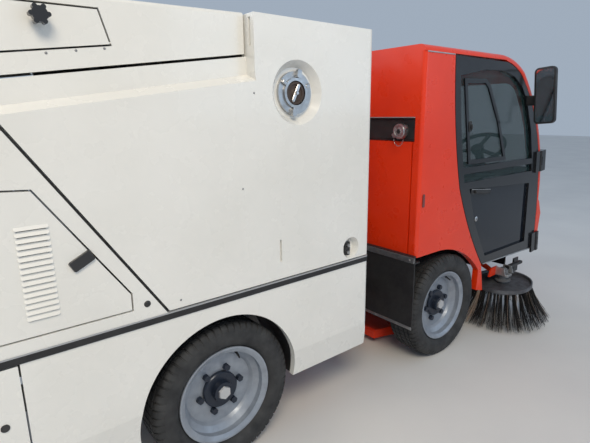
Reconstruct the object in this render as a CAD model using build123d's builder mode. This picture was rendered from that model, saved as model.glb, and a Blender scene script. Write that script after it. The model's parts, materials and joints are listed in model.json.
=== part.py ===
from build123d import *
from math import atan2, cos, degrees, hypot, radians, sin, tan
import os

# Compact street sweeper, millimetres.
# +X is the direction of travel, +Y is the left side, +Z is up.
# The origin lies on the ground, in the middle of the length and of the width.

# Running gear
wheelbase = 1562.0
rear_axle_x = -870.0
front_axle_x = rear_axle_x + wheelbase
tyre_radius = 332.0
tyre_width = 204.0
tread_width = 168.0
rim_radius = 222.0
rim_seat_radius = 203.0
rim_width = 166.0
rear_rim_face_y = 699.0
front_rim_face_y = 752.0
disc_recess = 71.0
disc_thickness = 12.0
disc_radius = 162.0
stud_circle_radius = 102.5
stud_count = 6
stud_angle = 39.0
stud_radius = 16.0
stud_length = 22.0
hub_radius = 84.0
hub_flange = 20.0
hub_barrel_radius = 48.0
hub_barrel_length = 26.0
hub_cap_radius = 31.0
hub_cap_length = 10.0
spindle_radius = 25.0
spindle_reach = 34.0
running_clearance = 0.05
axle_z = tyre_radius
kingpin_radius = 15.0
kingpin_offset = 40.0
knuckle_height = 110.0
knuckle_radius = 32.0
fork_thickness = 20.0
axle_beam = 80.0
steering_arm_length = 125.0
steering_arm_drop = 34.0
tie_rod_radius = 11.0
tie_rod_drop = 27.0
tie_pin_radius = 8.0
brake_radius = 120.0

# Frame
rail_outer_y = 365.0
rail_width = 60.0
rail_bottom = 395.0
rail_top = 485.0
rail_rear_x = rear_axle_x - 1060.0
rail_front_x = rear_axle_x + 2600.0
cross_member = 60.0
front_plate_bottom = 340.0
front_plate_half = 620.0

# White body
body_half_width = 750.0
inset = 60.0
upper_half_width = body_half_width - inset
panel = 30.0
corner_radius = 25.0
belt_bottom = 790.0
belt_top = 818.0
belt_proud = 4.0
skirt_bottom = 305.0
crease_z = 441.0
skirt_lean = 22.0
hopper_front_x = rear_axle_x + 843.0
hopper_bottom = belt_top + 6
hopper_top = 1913.0
step_x = rear_axle_x + 166.0
lid_gap = 8.0
lid_rise = 7.0
lid_fall = 25.0
lid_wall = 25.0
groove_drop = 152.0
groove_slope = 7.65
ledge_drop = 249.0
ledge_slope = 8.0
ledge_rise = 26.0
header_height = 90.0
diagonal_foot_x = rear_axle_x - 250.0
diagonal_head_x = rear_axle_x - 706.0
hopper_floor_z = 1530.0
hopper_rear_x = rear_axle_x - 1075.0
housing_rear_x = rear_axle_x - 1110.0
lamp_proud = 10.0
housing_gap = 12.0
housing_top = 1440.0
skirt_gap_x = rear_axle_x - 752.0
door_gap = 6.0
arch_radius = 376.0
arch_shift = -24.0
arch_z = 349.0

# Hinges of the body's doors, flaps and lid
pin_inset = 8.0
pin_radius = 5.0
pin_reach = 18.0
barrel_radius = 7.0
barrel_pin_radius = 4.0
leaf = 3.0
lid_hinge_segment = 38.0
flap_pin_inset = 4.0
flap_pin_radius = 2.5
flap_pin_reach = 12.0
lower_hinge_heights = (520.0, 700.0)
lower_hinge_segment = 26.0

# Hopper pivot and lift cylinders
pivot_x = rear_axle_x - 1050.0
pivot_z = 1470.0
pivot_pin_radius = 18.0
post_inner_y = 600.0
post_width = 40.0
lug_width = 34.0
lug_radius = 29.0
eye_x = rear_axle_x - 750.0
eye_z = 1420.0
base_x = rear_axle_x - 600.0
base_z = 600.0
cylinder_y = 450.0
lift_barrel_radius = 34.0
lift_rod_radius = 18.0

# Cab
cab_half_width = 770.0
cab_wall = 40.0
cab_corner = 40.0
cab_rear_corner = 24.0
bow_radius = 6600.0
cab_rear_x = rear_axle_x + 1222.0
cab_front_x = rear_axle_x + 2860.0
cab_top = 1885.0
cab_bottom_rear = 723.0
cab_bottom_front = 480.0
roof_seam_z = 1851.0
platform_z = 722.0
footwell_x = rear_axle_x + 1965.0
footwell_z = 499.0
floor_thickness = 26.0
floor_play = 25.0
driver_y = -440.0
glass_thickness = 6.0
cab_hinge_y = cab_half_width + 12.0
cab_hinge_radius = 9.0
cab_hinge_foot = (rear_axle_x + 2727.0, 553.0)
cab_hinge_head = (rear_axle_x + 2661.0, 1177.0)

# Side brushes
brush_x = rear_axle_x + 2345.0
brush_y = 740.0
brush_plate_z = 290.0
brush_ring_radius = 200.0
brush_ring_inner = 150.0
brush_ring_height = 30.0
brush_tip_radius = 318.0
brush_tip_z = 8.0
brush_tilt = 5.0
turret_y = 407.0
turret_radius = 24.0
turret_z = 436.0
turret_height = 76.0
turret_pin_radius = 12.0
turret_lug = 10.0
turret_play = 0.5
arm_reach = 60.0
arm_pin_radius = 9.0
arm_width = 40.0
motor_radius = 34.0
motor_length = 96.0

os.makedirs("parts", exist_ok=True)


def save(part, name):
    part.label = name
    export_step(part, f"parts/{name}.step")


def ahead(distance):
    """World X of a point given ahead of the rear axle."""
    return rear_axle_x + distance


def side_plane(y):
    """Upright sketch plane on the right side: local x is X, local y is Z, normal to the right."""
    return Plane.XZ.offset(y)


def groove_z(x):
    return hopper_top - groove_drop + (x - step_x) * tan(radians(groove_slope))


def ledge_z(x):
    return hopper_top - ledge_drop + (x - step_x) * tan(radians(ledge_slope))


def save_mirrored(part, name):
    """Writes the right-hand piece and its mirror image."""
    save(part, name + "_right")
    with BuildPart() as left:
        mirror(part, about=Plane.XZ)
    save(left.part, name + "_left")


def save_pair(part, name):
    """Writes a right-hand piece and its mirror image as one node."""
    with BuildPart() as both:
        add(part)
        mirror(part, about=Plane.XZ)
    save(both.part, name)


# Wheels: the tyre's half outline and cavity as (radius, distance outward from the rim face)

tyre_mid = -rim_width / 2
bulge_radius = rim_radius + 44
shoulder_radius = tyre_radius - 27
tyre_outline = (
    (rim_seat_radius + 1, -17.5),
    (rim_radius + 1.5, -10.5),
    (rim_radius + 8, 2.0),
    (bulge_radius, tyre_mid + tyre_width / 2),
    (shoulder_radius, tyre_mid + tyre_width / 2 - 6),
    (tyre_radius - 8, tyre_mid + tread_width / 2 + 3),
    (tyre_radius, tyre_mid + tread_width / 2 - 10),
)
tyre_cavity = (
    (rim_seat_radius + 1, -34.0),
    (bulge_radius - 8, 1.0),
    (shoulder_radius - 4, -12.0),
)


def both_halves(points):
    """Half outline with its mirror image across the tyre's middle, in sketch coordinates."""
    outer = [(radius, -out) for radius, out in points]
    inner = [(radius, out - 2 * tyre_mid) for radius, out in reversed(points)]
    return outer + inner


# Rim's section as (radius, depth behind the rim face), from the outer flange round to the disc
disc_in = disc_recess + disc_thickness
bore_radius = spindle_radius + running_clearance
rim_outline = (
    (rim_radius, 0), (rim_radius, 9), (rim_seat_radius, 16), (rim_seat_radius, 46),
    (rim_seat_radius - 24, 62), (rim_seat_radius - 24, 104), (rim_seat_radius, 120),
    (rim_seat_radius, rim_width - 16), (rim_radius, rim_width - 9), (rim_radius, rim_width),
    (rim_seat_radius - 8, rim_width), (rim_seat_radius - 8, 124), (rim_seat_radius - 31, 110),
    (rim_seat_radius - 31, disc_in + 9), (disc_radius - 10, disc_in),
    (bore_radius, disc_in), (bore_radius, disc_recess - hub_flange),
    (hub_radius - 4, disc_recess - hub_flange), (hub_radius, disc_recess - hub_flange + 4),
    (hub_radius, disc_recess), (disc_radius, disc_recess), (rim_seat_radius - 31, disc_recess - 14),
    (rim_seat_radius - 8, 38), (rim_seat_radius - 8, 10), (rim_radius - 8, 0),
)

for place, axle_x, face_y in (("rear", rear_axle_x, rear_rim_face_y), ("front", front_axle_x, front_rim_face_y)):
    centre = Plane(origin=(axle_x, -face_y, axle_z), x_dir=(0, 0, 1), z_dir=(0, -1, 0))
    profile_plane = Plane(origin=(axle_x, -face_y, axle_z), x_dir=(0, 0, 1), z_dir=(-1, 0, 0))
    axis = Axis((axle_x, -face_y, axle_z), (0, -1, 0))
    with BuildPart() as tyre:
        with BuildSketch(profile_plane):
            Polygon(*both_halves(tyre_outline), align=None)
            Polygon(*both_halves(tyre_cavity), align=None, mode=Mode.SUBTRACT)
        revolve(axis=axis)
    with BuildPart() as rim:
        with BuildSketch(profile_plane):
            Polygon(*rim_outline, align=None)
        revolve(axis=axis)
        with BuildSketch(centre.offset(-disc_recess)):
            with PolarLocations(stud_circle_radius, stud_count, start_angle=stud_angle):
                RegularPolygon(stud_radius, 6)
        extrude(amount=stud_length)
        with BuildSketch(centre.offset(-disc_recess + hub_flange)):
            Circle(hub_barrel_radius)
        extrude(amount=hub_barrel_length, taper=6)
        with BuildSketch(centre.offset(-disc_recess + hub_flange + hub_barrel_length)):
            RegularPolygon(hub_cap_radius, 6)
        extrude(amount=hub_cap_length, taper=8)
        with Locations(centre.offset(-disc_recess + hub_flange - 1)):
            Cylinder(bore_radius, spindle_reach - hub_flange + 5, align=(Align.CENTER, Align.CENTER, Align.MIN),
                     mode=Mode.SUBTRACT)
    save_mirrored(tyre.part, place + "_tyre")
    save_mirrored(rim.part, place + "_rim")

# Rear axle: beam, drive housing, spring pads, brake drums and the two spindles

rear_spindle_y = rear_rim_face_y - disc_recess + spindle_reach
with BuildPart() as rear_axle:
    with BuildSketch(Plane.XZ.offset(-(rear_rim_face_y - rim_width))):
        with Locations((rear_axle_x, axle_z)):
            Circle(46)
    extrude(amount=2 * (rear_rim_face_y - rim_width))
    with BuildSketch(Plane.XZ.offset(-rear_spindle_y)):
        with Locations((rear_axle_x, axle_z)):
            Circle(spindle_radius)
    extrude(amount=2 * rear_spindle_y)
    for side in (-1, 1):
        with Locations((rear_axle_x, side * (rear_rim_face_y - rim_width + 46), axle_z)):
            Cylinder(brake_radius, 30, rotation=(90, 0, 0))
    with BuildSketch(Plane.XZ.offset(-110)):
        with Locations((rear_axle_x, axle_z)):
            Circle(110)
    extrude(amount=220)
    for side in (-1, 1):
        with Locations((rear_axle_x, side * (rail_outer_y - rail_width / 2), (axle_z + rail_bottom) / 2)):
            Box(120, rail_width, rail_bottom - axle_z)
save(rear_axle.part, "rear_axle")

# Front axle: beam with a fork at each end, and the kingpins

kingpin_y = front_rim_face_y - rim_width / 2 - kingpin_offset
fork_reach = knuckle_height / 2 + 1
fork_web_y = kingpin_y - knuckle_radius - 32
with BuildPart() as front_axle:
    with Locations((front_axle_x, 0, axle_z)):
        Box(axle_beam, 2 * (fork_web_y - 20), axle_beam)
    for side in (-1, 1):
        for level in (-1, 1):
            with Locations((front_axle_x, side * (kingpin_y - 30), axle_z + level * (fork_reach + fork_thickness / 2))):
                Box(56, 116, fork_thickness)
        with Locations((front_axle_x, side * fork_web_y, axle_z)):
            Box(48, 40, 2 * (fork_reach + fork_thickness))
        with Locations((front_axle_x, side * kingpin_y, axle_z)):
            Cylinder(kingpin_radius, 2 * (fork_reach + fork_thickness / 2))
        with Locations((front_axle_x, side * (rail_outer_y - rail_width / 2), (axle_z + rail_bottom) / 2)):
            Box(100, rail_width, rail_bottom - axle_z)
save(front_axle.part, "front_axle")

arm_pin_x = front_axle_x - steering_arm_length
arm_z = axle_z - steering_arm_drop
tie_z = arm_z - tie_rod_drop
with BuildPart() as knuckle:
    with Locations((front_axle_x, -kingpin_y, axle_z)):
        Cylinder(knuckle_radius, knuckle_height)
    with Locations(Plane(origin=(front_axle_x, -kingpin_y, axle_z), z_dir=(0, -1, 0))):
        Cylinder(spindle_radius, front_rim_face_y - disc_recess + spindle_reach - kingpin_y,
                 align=(Align.CENTER, Align.CENTER, Align.MIN))
    with BuildSketch(Plane.XY.offset(arm_z - 9)):
        Polygon((front_axle_x + 10, -kingpin_y - 15), (front_axle_x + 10, -kingpin_y + 15),
                (arm_pin_x - 16, -kingpin_y + 12), (arm_pin_x - 16, -kingpin_y - 12), align=None)
    extrude(amount=18)
    with Locations((arm_pin_x, -kingpin_y, arm_z - 20)):
        Cylinder(tie_pin_radius, 40)
    with Locations((front_axle_x, -kingpin_y, axle_z)):
        Cylinder(kingpin_radius + running_clearance, knuckle_height + 2, mode=Mode.SUBTRACT)
save_mirrored(knuckle.part, "knuckle")

with BuildPart() as tie_rod:
    with Locations(Plane(origin=(arm_pin_x, 0, tie_z), z_dir=(0, 1, 0))):
        Cylinder(tie_rod_radius, 2 * (kingpin_y - 16))
    for side in (-1, 1):
        with Locations((arm_pin_x, side * kingpin_y, tie_z)):
            Cylinder(20, 24)
    for side in (-1, 1):
        with Locations((arm_pin_x, side * kingpin_y, tie_z)):
            Cylinder(tie_pin_radius + running_clearance, 30, mode=Mode.SUBTRACT)
save(tie_rod.part, "tie_rod")

# Ladder frame with the hopper's rear posts, engine mounts and the brush turrets' lugs

outrigger_xs = (ahead(-640), ahead(560))
duct_member_x = ahead(560)
cross_xs = (rail_rear_x + 30, ahead(-300), duct_member_x, ahead(1180), rail_front_x - 30)
engine_x = ahead(-740)
engine_length = 560.0
engine_half_width = 240.0
engine_top = 1040.0
with BuildPart() as frame:
    for side in (-1, 1):
        with Locations(((rail_rear_x + rail_front_x) / 2, side * (rail_outer_y - rail_width / 2),
                        (rail_bottom + rail_top) / 2)):
            Box(rail_front_x - rail_rear_x, rail_width, rail_top - rail_bottom)
    for x in cross_xs:
        with Locations((x, 0, (rail_bottom + rail_top) / 2)):
            Box(cross_member, 2 * rail_outer_y - rail_width, 60)
    for side in (-1, 1):
        with Locations((pivot_x, side * (post_inner_y + post_width / 2), (rail_bottom + 30 + pivot_z + 30) / 2)):
            Box(46, post_width, pivot_z - rail_bottom)
        with Locations((pivot_x, side * (rail_outer_y + post_inner_y + post_width) / 2, (rail_bottom + rail_top) / 2)):
            Box(46, post_inner_y + post_width - rail_outer_y, 60)
        for brace_z in (900, 1380):
            with Locations((pivot_x, side * (post_inner_y + post_width + body_half_width - panel) / 2, brace_z)):
                Box(46, body_half_width - panel - post_inner_y - post_width, 50)
        for x in outrigger_xs:
            with Locations((x, side * (rail_outer_y + body_half_width - panel) / 2, rail_top - 18)):
                Box(50, body_half_width - panel - rail_outer_y, 36)
        for x in (engine_x - 200, engine_x + 200):
            with Locations((x, side * (rail_outer_y - rail_width + engine_half_width - 15) / 2, rail_top - 20)):
                Box(60, rail_outer_y - rail_width - engine_half_width + 15, 40)
        with Locations(Plane(origin=(pivot_x, side * (post_inner_y + post_width), pivot_z), z_dir=(0, side, 0))):
            Cylinder(pivot_pin_radius, post_width + lug_width + 14, align=(Align.CENTER, Align.CENTER, Align.MAX))
        with Locations((base_x, side * (rail_outer_y + 8), base_z - 60)):
            Box(80, 16, 220)
        with Locations(Plane(origin=(base_x, side * (rail_outer_y + 16), base_z), z_dir=(0, side, 0))):
            Cylinder(16, cylinder_y + 24 - rail_outer_y - 16, align=(Align.CENTER, Align.CENTER, Align.MIN))
        for level in (-1, 1):
            with Locations((brush_x, side * (rail_outer_y + turret_y + turret_radius) / 2,
                            turret_z + level * (turret_height + turret_lug + 2 * turret_play) / 2)):
                Box(60, turret_y + turret_radius - rail_outer_y, turret_lug)
        with Locations((brush_x, side * turret_y, turret_z)):
            Cylinder(turret_pin_radius, turret_height + turret_lug)
    with Locations((rail_front_x + 5, 0, (front_plate_bottom + footwell_z) / 2)):
        Box(10, 2 * front_plate_half, footwell_z - front_plate_bottom)
save(frame.part, "frame")

# Lift cylinders, drawn along their own axis from the base pin to the rod's eye

cylinder_length = hypot(eye_x - base_x, eye_z - base_z)
cylinder_lean = degrees(atan2(eye_x - base_x, eye_z - base_z))
barrel_length = cylinder_length - 130
cylinder_frame = Plane(origin=(base_x, -cylinder_y, base_z), x_dir=(0, 1, 0),
                       z_dir=(sin(radians(cylinder_lean)), 0, cos(radians(cylinder_lean))))
with BuildPart() as lift_barrel:
    with Locations(cylinder_frame.offset(24)):
        Cylinder(lift_barrel_radius, barrel_length - 24, align=(Align.CENTER, Align.CENTER, Align.MIN))
    with Locations(Plane(origin=(base_x, -cylinder_y, base_z), z_dir=(0, 1, 0))):
        Cylinder(30, 40)
        Cylinder(16 + running_clearance, 60, mode=Mode.SUBTRACT)
    with Locations(cylinder_frame.offset(60)):
        Cylinder(lift_rod_radius + running_clearance, barrel_length, align=(Align.CENTER, Align.CENTER, Align.MIN),
                 mode=Mode.SUBTRACT)
save_pair(lift_barrel.part, "lift_barrels")
with BuildPart() as lift_rod:
    with Locations(cylinder_frame.offset(80)):
        Cylinder(lift_rod_radius, cylinder_length - 80 - 15, align=(Align.CENTER, Align.CENTER, Align.MIN))
    with Locations(Plane(origin=(eye_x, -cylinder_y, eye_z), z_dir=(0, 1, 0))):
        Cylinder(26, 44)
        Cylinder(12, 59)
save_pair(lift_rod.part, "lift_rods")

# Engine: one plain block under the housing

with BuildPart() as engine:
    with Locations((engine_x, 0, (rail_top + engine_top) / 2)):
        Box(engine_length, 2 * engine_half_width, engine_top - rail_top)
    fillet(engine.edges().filter_by(Axis.Z), 30)
save(engine.part, "engine")


# Rear engine housing, open where the hopper sits on it

def diagonal_x(z, gap=0.0):
    """X of the diagonal joint at a height, moved back by the gap."""
    slope = (diagonal_head_x - diagonal_foot_x) / (hopper_floor_z - hopper_bottom)
    return diagonal_foot_x + (z - hopper_bottom) * slope - gap


housing_bottom = belt_top
housing_peak = housing_top + 60
housing_outline = (
    (housing_rear_x, housing_bottom),
    (diagonal_x(housing_bottom, housing_gap), housing_bottom),
    (diagonal_x(housing_peak, housing_gap), housing_peak),
    (pivot_x + 60, housing_peak),
    (pivot_x + 20, housing_top),
    (housing_rear_x, housing_top),
)
door_rear_x = ahead(-1030)
door_bottom_z = 861.0
door_top_z = 1352.0
engine_door_outline = (
    (door_rear_x, door_bottom_z),
    (ahead(-382), door_bottom_z - 1),
    (ahead(-381), 927.0),
    (ahead(-646), 1327.0),
    (door_rear_x, door_top_z),
)
engine_pin_x = door_rear_x + door_gap + pin_inset
engine_pin_y = body_half_width - pin_inset
grille_z = 1110.0
grille_width = 900.0
grille_height = 420.0
slat_pitch = 42.0
with BuildPart() as housing:
    with BuildSketch(side_plane(-body_half_width)):
        Polygon(*housing_outline, align=None)
    extrude(amount=2 * body_half_width)
    fillet(housing.edges().filter_by(Axis.Z).filter_by_position(Axis.X, housing_rear_x - 1, housing_rear_x + 1), 40)
    with BuildSketch(side_plane(-(body_half_width - panel))):
        Polygon((housing_rear_x + panel, housing_bottom - 10), (step_x, housing_bottom - 10),
                (step_x, hopper_top), (housing_rear_x + panel, hopper_top), align=None)
    extrude(amount=2 * (body_half_width - panel), mode=Mode.SUBTRACT)
    with BuildSketch(side_plane(-body_half_width - 5)):
        Polygon(*engine_door_outline, align=None)
    extrude(amount=2 * body_half_width + 10, mode=Mode.SUBTRACT)
    with BuildSketch(Plane.YZ.offset(housing_rear_x - 5)):
        with Locations((0, grille_z)):
            RectangleRounded(grille_width, grille_height, 30)
    extrude(amount=panel + 10, mode=Mode.SUBTRACT)
    with BuildSketch(Plane.YZ.offset(housing_rear_x)):
        with Locations((0, grille_z)):
            with GridLocations(0, slat_pitch, 1, int(grille_height / slat_pitch)):
                Rectangle(grille_width + 10, 14)
    extrude(amount=16)
    # Hinge pins standing in the edges of the door openings
    for side in (-1, 1):
        for low, high in ((door_bottom_z - 10, door_bottom_z + door_gap + pin_reach),
                          (door_top_z - 2 - door_gap - pin_reach, door_top_z + 10)):
            with Locations((engine_pin_x, side * engine_pin_y, (low + high) / 2)):
                Cylinder(pin_radius, high - low)
save(housing.part, "engine_housing")

# Engine side doors with hooded louvres, hinged at the rear edge

louvre_x = ahead(-661)
louvre_z = 1070.5
louvre_length = 94.5
louvre_pitch = 19.1
louvre_count = 16
hood_height = 12.0
hood_proud = 7.0
slit_height = 4.0
slit_depth = 10.0
latch_x = ahead(-532)
latch_z = 1080.0
latch_length = 78.0
latch_width = 40.0
latch_angle = 28.0
plug_x = ahead(-332)
plug_z = 874.0
with BuildPart() as hoods:
    with BuildSketch(Plane.YZ.offset(louvre_x - louvre_length / 2)):
        with Locations((-body_half_width, louvre_z)):
            with GridLocations(0, louvre_pitch, 1, louvre_count):
                Polygon((1, hood_height / 2), (-hood_proud, -hood_height / 2), (1, -hood_height / 2), align=None)
    extrude(amount=louvre_length)
    with BuildSketch(side_plane(body_half_width - 1)):
        with Locations((louvre_x, louvre_z)):
            with GridLocations(0, louvre_pitch, 1, louvre_count):
                RectangleRounded(louvre_length, hood_height, hood_height / 2 - 0.2)
    extrude(amount=hood_proud + 5, mode=Mode.INTERSECT)
with BuildPart() as engine_door:
    with BuildSketch(side_plane(body_half_width - panel)):
        Polygon(*engine_door_outline, align=None)
        offset(amount=-door_gap, kind=Kind.INTERSECTION, mode=Mode.REPLACE)
    extrude(amount=panel)
    add(hoods.part)
    with BuildSketch(side_plane(body_half_width)):
        with Locations((louvre_x, louvre_z - hood_height / 2 - slit_height / 2)):
            with GridLocations(0, louvre_pitch, 1, louvre_count):
                Rectangle(louvre_length - hood_height, slit_height)
    extrude(amount=-slit_depth, mode=Mode.SUBTRACT)
    with BuildSketch(side_plane(body_half_width)):
        with Locations((latch_x, latch_z)):
            RectangleRounded(latch_length, latch_width, 8, rotation=latch_angle)
    extrude(amount=9, taper=12)
    for z in (door_bottom_z + door_gap, door_top_z - door_gap):
        with Locations((engine_pin_x, -engine_pin_y, z)):
            Cylinder(pin_radius + running_clearance, 2 * pin_reach + 6, mode=Mode.SUBTRACT)
save_mirrored(engine_door.part, "engine_door")

# Hopper: a wedge-shaped hollow body and its rear tray, under the lid

inner_half = body_half_width - panel
wide_tip_x = step_x - (hopper_top - ledge_drop + ledge_rise - hopper_floor_z) / tan(radians(ledge_slope))
hopper_lower = (
    (hopper_front_x, hopper_bottom),
    (hopper_front_x, hopper_top),
    (step_x, hopper_top),
    (step_x, ledge_z(step_x) + ledge_rise),
    (wide_tip_x, hopper_floor_z),
    (diagonal_head_x, hopper_floor_z),
    (diagonal_foot_x, hopper_bottom),
)
hopper_upper = (
    (step_x + 20, groove_z(step_x)),
    (hopper_rear_x, groove_z(hopper_rear_x) - 4),
    (hopper_rear_x, hopper_floor_z),
    (step_x + 20, hopper_floor_z),
)
diagonal_run = hypot(diagonal_head_x - diagonal_foot_x, hopper_floor_z - hopper_bottom)
wall_shift = panel * diagonal_run / (hopper_floor_z - hopper_bottom)
ceiling = 17.0


def inside_diagonal(z):
    """X of the sloping wall's inner face at a height."""
    return diagonal_x(z) + wall_shift


ledge_meets_z = hopper_floor_z
wide_cavity = (
    (hopper_front_x - panel, hopper_bottom + panel),
    (hopper_front_x - panel, hopper_top - panel),
    (step_x + panel, hopper_top - panel),
    (step_x + panel, ledge_z(step_x + panel) - ceiling),
    (inside_diagonal(ledge_meets_z), ledge_z(inside_diagonal(ledge_meets_z)) - ceiling),
    (inside_diagonal(hopper_bottom + panel), hopper_bottom + panel),
)
narrow_cavity = (
    (hopper_rear_x + panel, hopper_floor_z + panel),
    (inside_diagonal(hopper_floor_z + panel), hopper_floor_z + panel),
    (inside_diagonal(hopper_floor_z), hopper_floor_z),
    (step_x + 2 * panel, hopper_floor_z),
    (step_x + 2 * panel, hopper_top - header_height),
    (step_x, hopper_top - header_height),
    (step_x, hopper_top + 90),
    (hopper_rear_x + panel, hopper_top + 90),
)
coupling_x = ahead(380)
coupling_z = 1622.0
recess_radius = 132.0
recess_floor_radius = 104.0
recess_depth = 34.0
port_radius = 50.0
port_wall = 11.5
slot_x = ahead(275)
slot_z = 952.0
slot_length = 102.0
latch_recess_x = ahead(711)
latch_recess_z = 882.0
latch_recess_radius = 56.0
step_slot_y = body_half_width - inset / 2
ledge_length = step_x - hopper_rear_x + 60
ledge_frame = Plane(origin=(step_x + 5, 0, ledge_z(step_x)), x_dir=(0, 1, 0),
                    z_dir=(cos(radians(ledge_slope)), 0, sin(radians(ledge_slope))))
duct_x = ahead(700)
duct_radius = 100.0
duct_wall = 6.0
hinge_x = step_x - lid_gap / 2
hinge_z = hopper_top + lid_rise + barrel_radius + 1
lid_hinge_ys = (-450.0, 0.0, 450.0)
hinge_period = lid_hinge_segment + 1
with BuildPart() as hopper:
    with BuildSketch(side_plane(-body_half_width)):
        Polygon(*hopper_lower, align=None)
    extrude(amount=2 * body_half_width)
    with BuildSketch(ledge_frame):
        for side in (-1, 1):
            Polygon((side * upper_half_width, ledge_rise), (side * (body_half_width + 20), -ledge_rise * 2 / 7),
                    (side * (body_half_width + 20), 300), (side * upper_half_width, 300), align=None)
    extrude(amount=-ledge_length, mode=Mode.SUBTRACT)
    with BuildSketch(side_plane(-upper_half_width)):
        Polygon(*hopper_upper, align=None)
    extrude(amount=2 * upper_half_width)
    fillet(hopper.edges().filter_by(Axis.Z).filter_by_position(Axis.X, hopper_front_x - 1, hopper_front_x + 1),
           corner_radius)
    with BuildSketch(side_plane(-inner_half)):
        Polygon(*wide_cavity, align=None)
    extrude(amount=2 * inner_half, mode=Mode.SUBTRACT)
    with BuildSketch(side_plane(-(upper_half_width - panel))):
        Polygon(*narrow_cavity, align=None)
    extrude(amount=2 * (upper_half_width - panel), mode=Mode.SUBTRACT)
    # Dish of the hose coupling with the port through it
    with BuildSketch(side_plane(inner_half - recess_depth)):
        with Locations((coupling_x, coupling_z)):
            Circle(recess_radius + panel / 2)
    extrude(amount=recess_depth)
    with BuildSketch(side_plane(body_half_width - recess_depth)):
        with Locations((coupling_x, coupling_z)):
            Circle(recess_floor_radius)
    extrude(amount=recess_depth, taper=-degrees(atan2(recess_radius - recess_floor_radius, recess_depth)),
            mode=Mode.SUBTRACT)
    with BuildSketch(side_plane(inner_half - recess_depth - 10)):
        with Locations((coupling_x, coupling_z)):
            Circle(port_radius + port_wall + 0.5)
    extrude(amount=panel + recess_depth + 10, mode=Mode.SUBTRACT)
    # Round latch recesses and the slot behind the coupling
    for side in (-1, 1):
        with BuildSketch(side_plane(side * (inner_half - recess_depth))):
            with Locations((latch_recess_x, latch_recess_z)):
                Rectangle(2 * latch_recess_radius + panel, 2 * latch_recess_radius)
        extrude(amount=side * recess_depth)
        with BuildSketch(side_plane(side * (body_half_width - recess_depth))):
            with Locations((latch_recess_x, latch_recess_z)):
                Circle(latch_recess_radius - 14)
        extrude(amount=side * recess_depth, taper=-20, mode=Mode.SUBTRACT)
    with BuildSketch(side_plane(body_half_width)):
        with Locations((slot_x, slot_z)):
            SlotOverall(slot_length, 11, rotation=90)
    extrude(amount=-12, mode=Mode.SUBTRACT)
    with BuildSketch(Plane.YZ.offset(step_x)):
        for side in (-1, 1):
            with Locations((side * step_slot_y, hopper_top - 66)):
                Rectangle(14, 106)
    extrude(amount=12, mode=Mode.SUBTRACT)
    with BuildSketch(Plane.XY.offset(hopper_bottom - 5)):
        with Locations((duct_x, 0)):
            Circle(duct_radius - duct_wall)
    extrude(amount=panel + 10, mode=Mode.SUBTRACT)
    # Fixed knuckles and leaves of the lid's hinges
    for y in lid_hinge_ys:
        for step in (-1, 1):
            with Locations((hinge_x, y + step * hinge_period, hinge_z)):
                Cylinder(barrel_radius, lid_hinge_segment, rotation=(90, 0, 0))
            with Locations((hinge_x + 17, y + step * hinge_period, (hopper_top + hinge_z) / 2 - 1)):
                Box(34, lid_hinge_segment, hinge_z - hopper_top)
        with Locations((hinge_x, y, hinge_z)):
            Cylinder(barrel_pin_radius, 2 * hinge_period, rotation=(90, 0, 0))
    # Apron behind, ears on the pivot pins and clevises for the rods
    with Locations((hopper_rear_x + 10, 0, hopper_floor_z - 40)):
        Box(20, 1090, 90)
    for side in (-1, 1):
        ear_mid = side * (post_inner_y - 8 - lug_width / 2)
        with BuildSketch(Plane.XZ.offset(-ear_mid - lug_width / 2)):
            with Locations((pivot_x, pivot_z)):
                Circle(lug_radius)
            Polygon((pivot_x - lug_radius, pivot_z), (pivot_x + lug_radius, pivot_z),
                    (pivot_x + lug_radius + 50, hopper_floor_z + 5), (pivot_x - lug_radius + 10, hopper_floor_z + 5),
                    align=None)
        extrude(amount=lug_width)
        with Locations(Plane(origin=(pivot_x, ear_mid, pivot_z), z_dir=(0, 1, 0))):
            Cylinder(pivot_pin_radius + running_clearance, lug_width + 10, mode=Mode.SUBTRACT)
        for cheek in (-1, 1):
            with Locations((eye_x, side * (cylinder_y + cheek * 36), (eye_z + hopper_floor_z) / 2 - 14)):
                Box(80, 12, hopper_floor_z - eye_z + 34)
seam_plane = Plane.YZ.offset(diagonal_head_x)
with BuildPart() as hopper_tank:
    add(hopper.part)
    split(bisect_by=seam_plane, keep=Keep.TOP)
save(hopper_tank.part, "hopper")
with BuildPart() as hopper_tray:
    add(hopper.part)
    split(bisect_by=seam_plane, keep=Keep.BOTTOM)
save(hopper_tray.part, "hopper_tray")

with BuildPart() as coupling:
    with BuildSketch(side_plane(body_half_width - recess_depth)):
        with Locations((coupling_x, coupling_z)):
            Circle(88)
            Circle(port_radius + port_wall, mode=Mode.SUBTRACT)
    extrude(amount=14)
    with BuildSketch(side_plane(body_half_width - recess_depth - panel)):
        with Locations((coupling_x, coupling_z)):
            Circle(port_radius + port_wall)
            Circle(port_radius, mode=Mode.SUBTRACT)
    extrude(amount=panel + 22)
    with BuildSketch(side_plane(body_half_width - recess_depth - 10)):
        with Locations((coupling_x, coupling_z)):
            Circle(port_radius + 1)
    extrude(amount=12)
    with BuildSketch(side_plane(body_half_width - recess_depth + 14)):
        with Locations((coupling_x, coupling_z)):
            with PolarLocations(80, 2, start_angle=80):
                RectangleRounded(34, 22, 8)
    extrude(amount=16)
save(coupling.part, "hose_coupling")

# Lid over the rear of the hopper, hinged at its front edge

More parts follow.
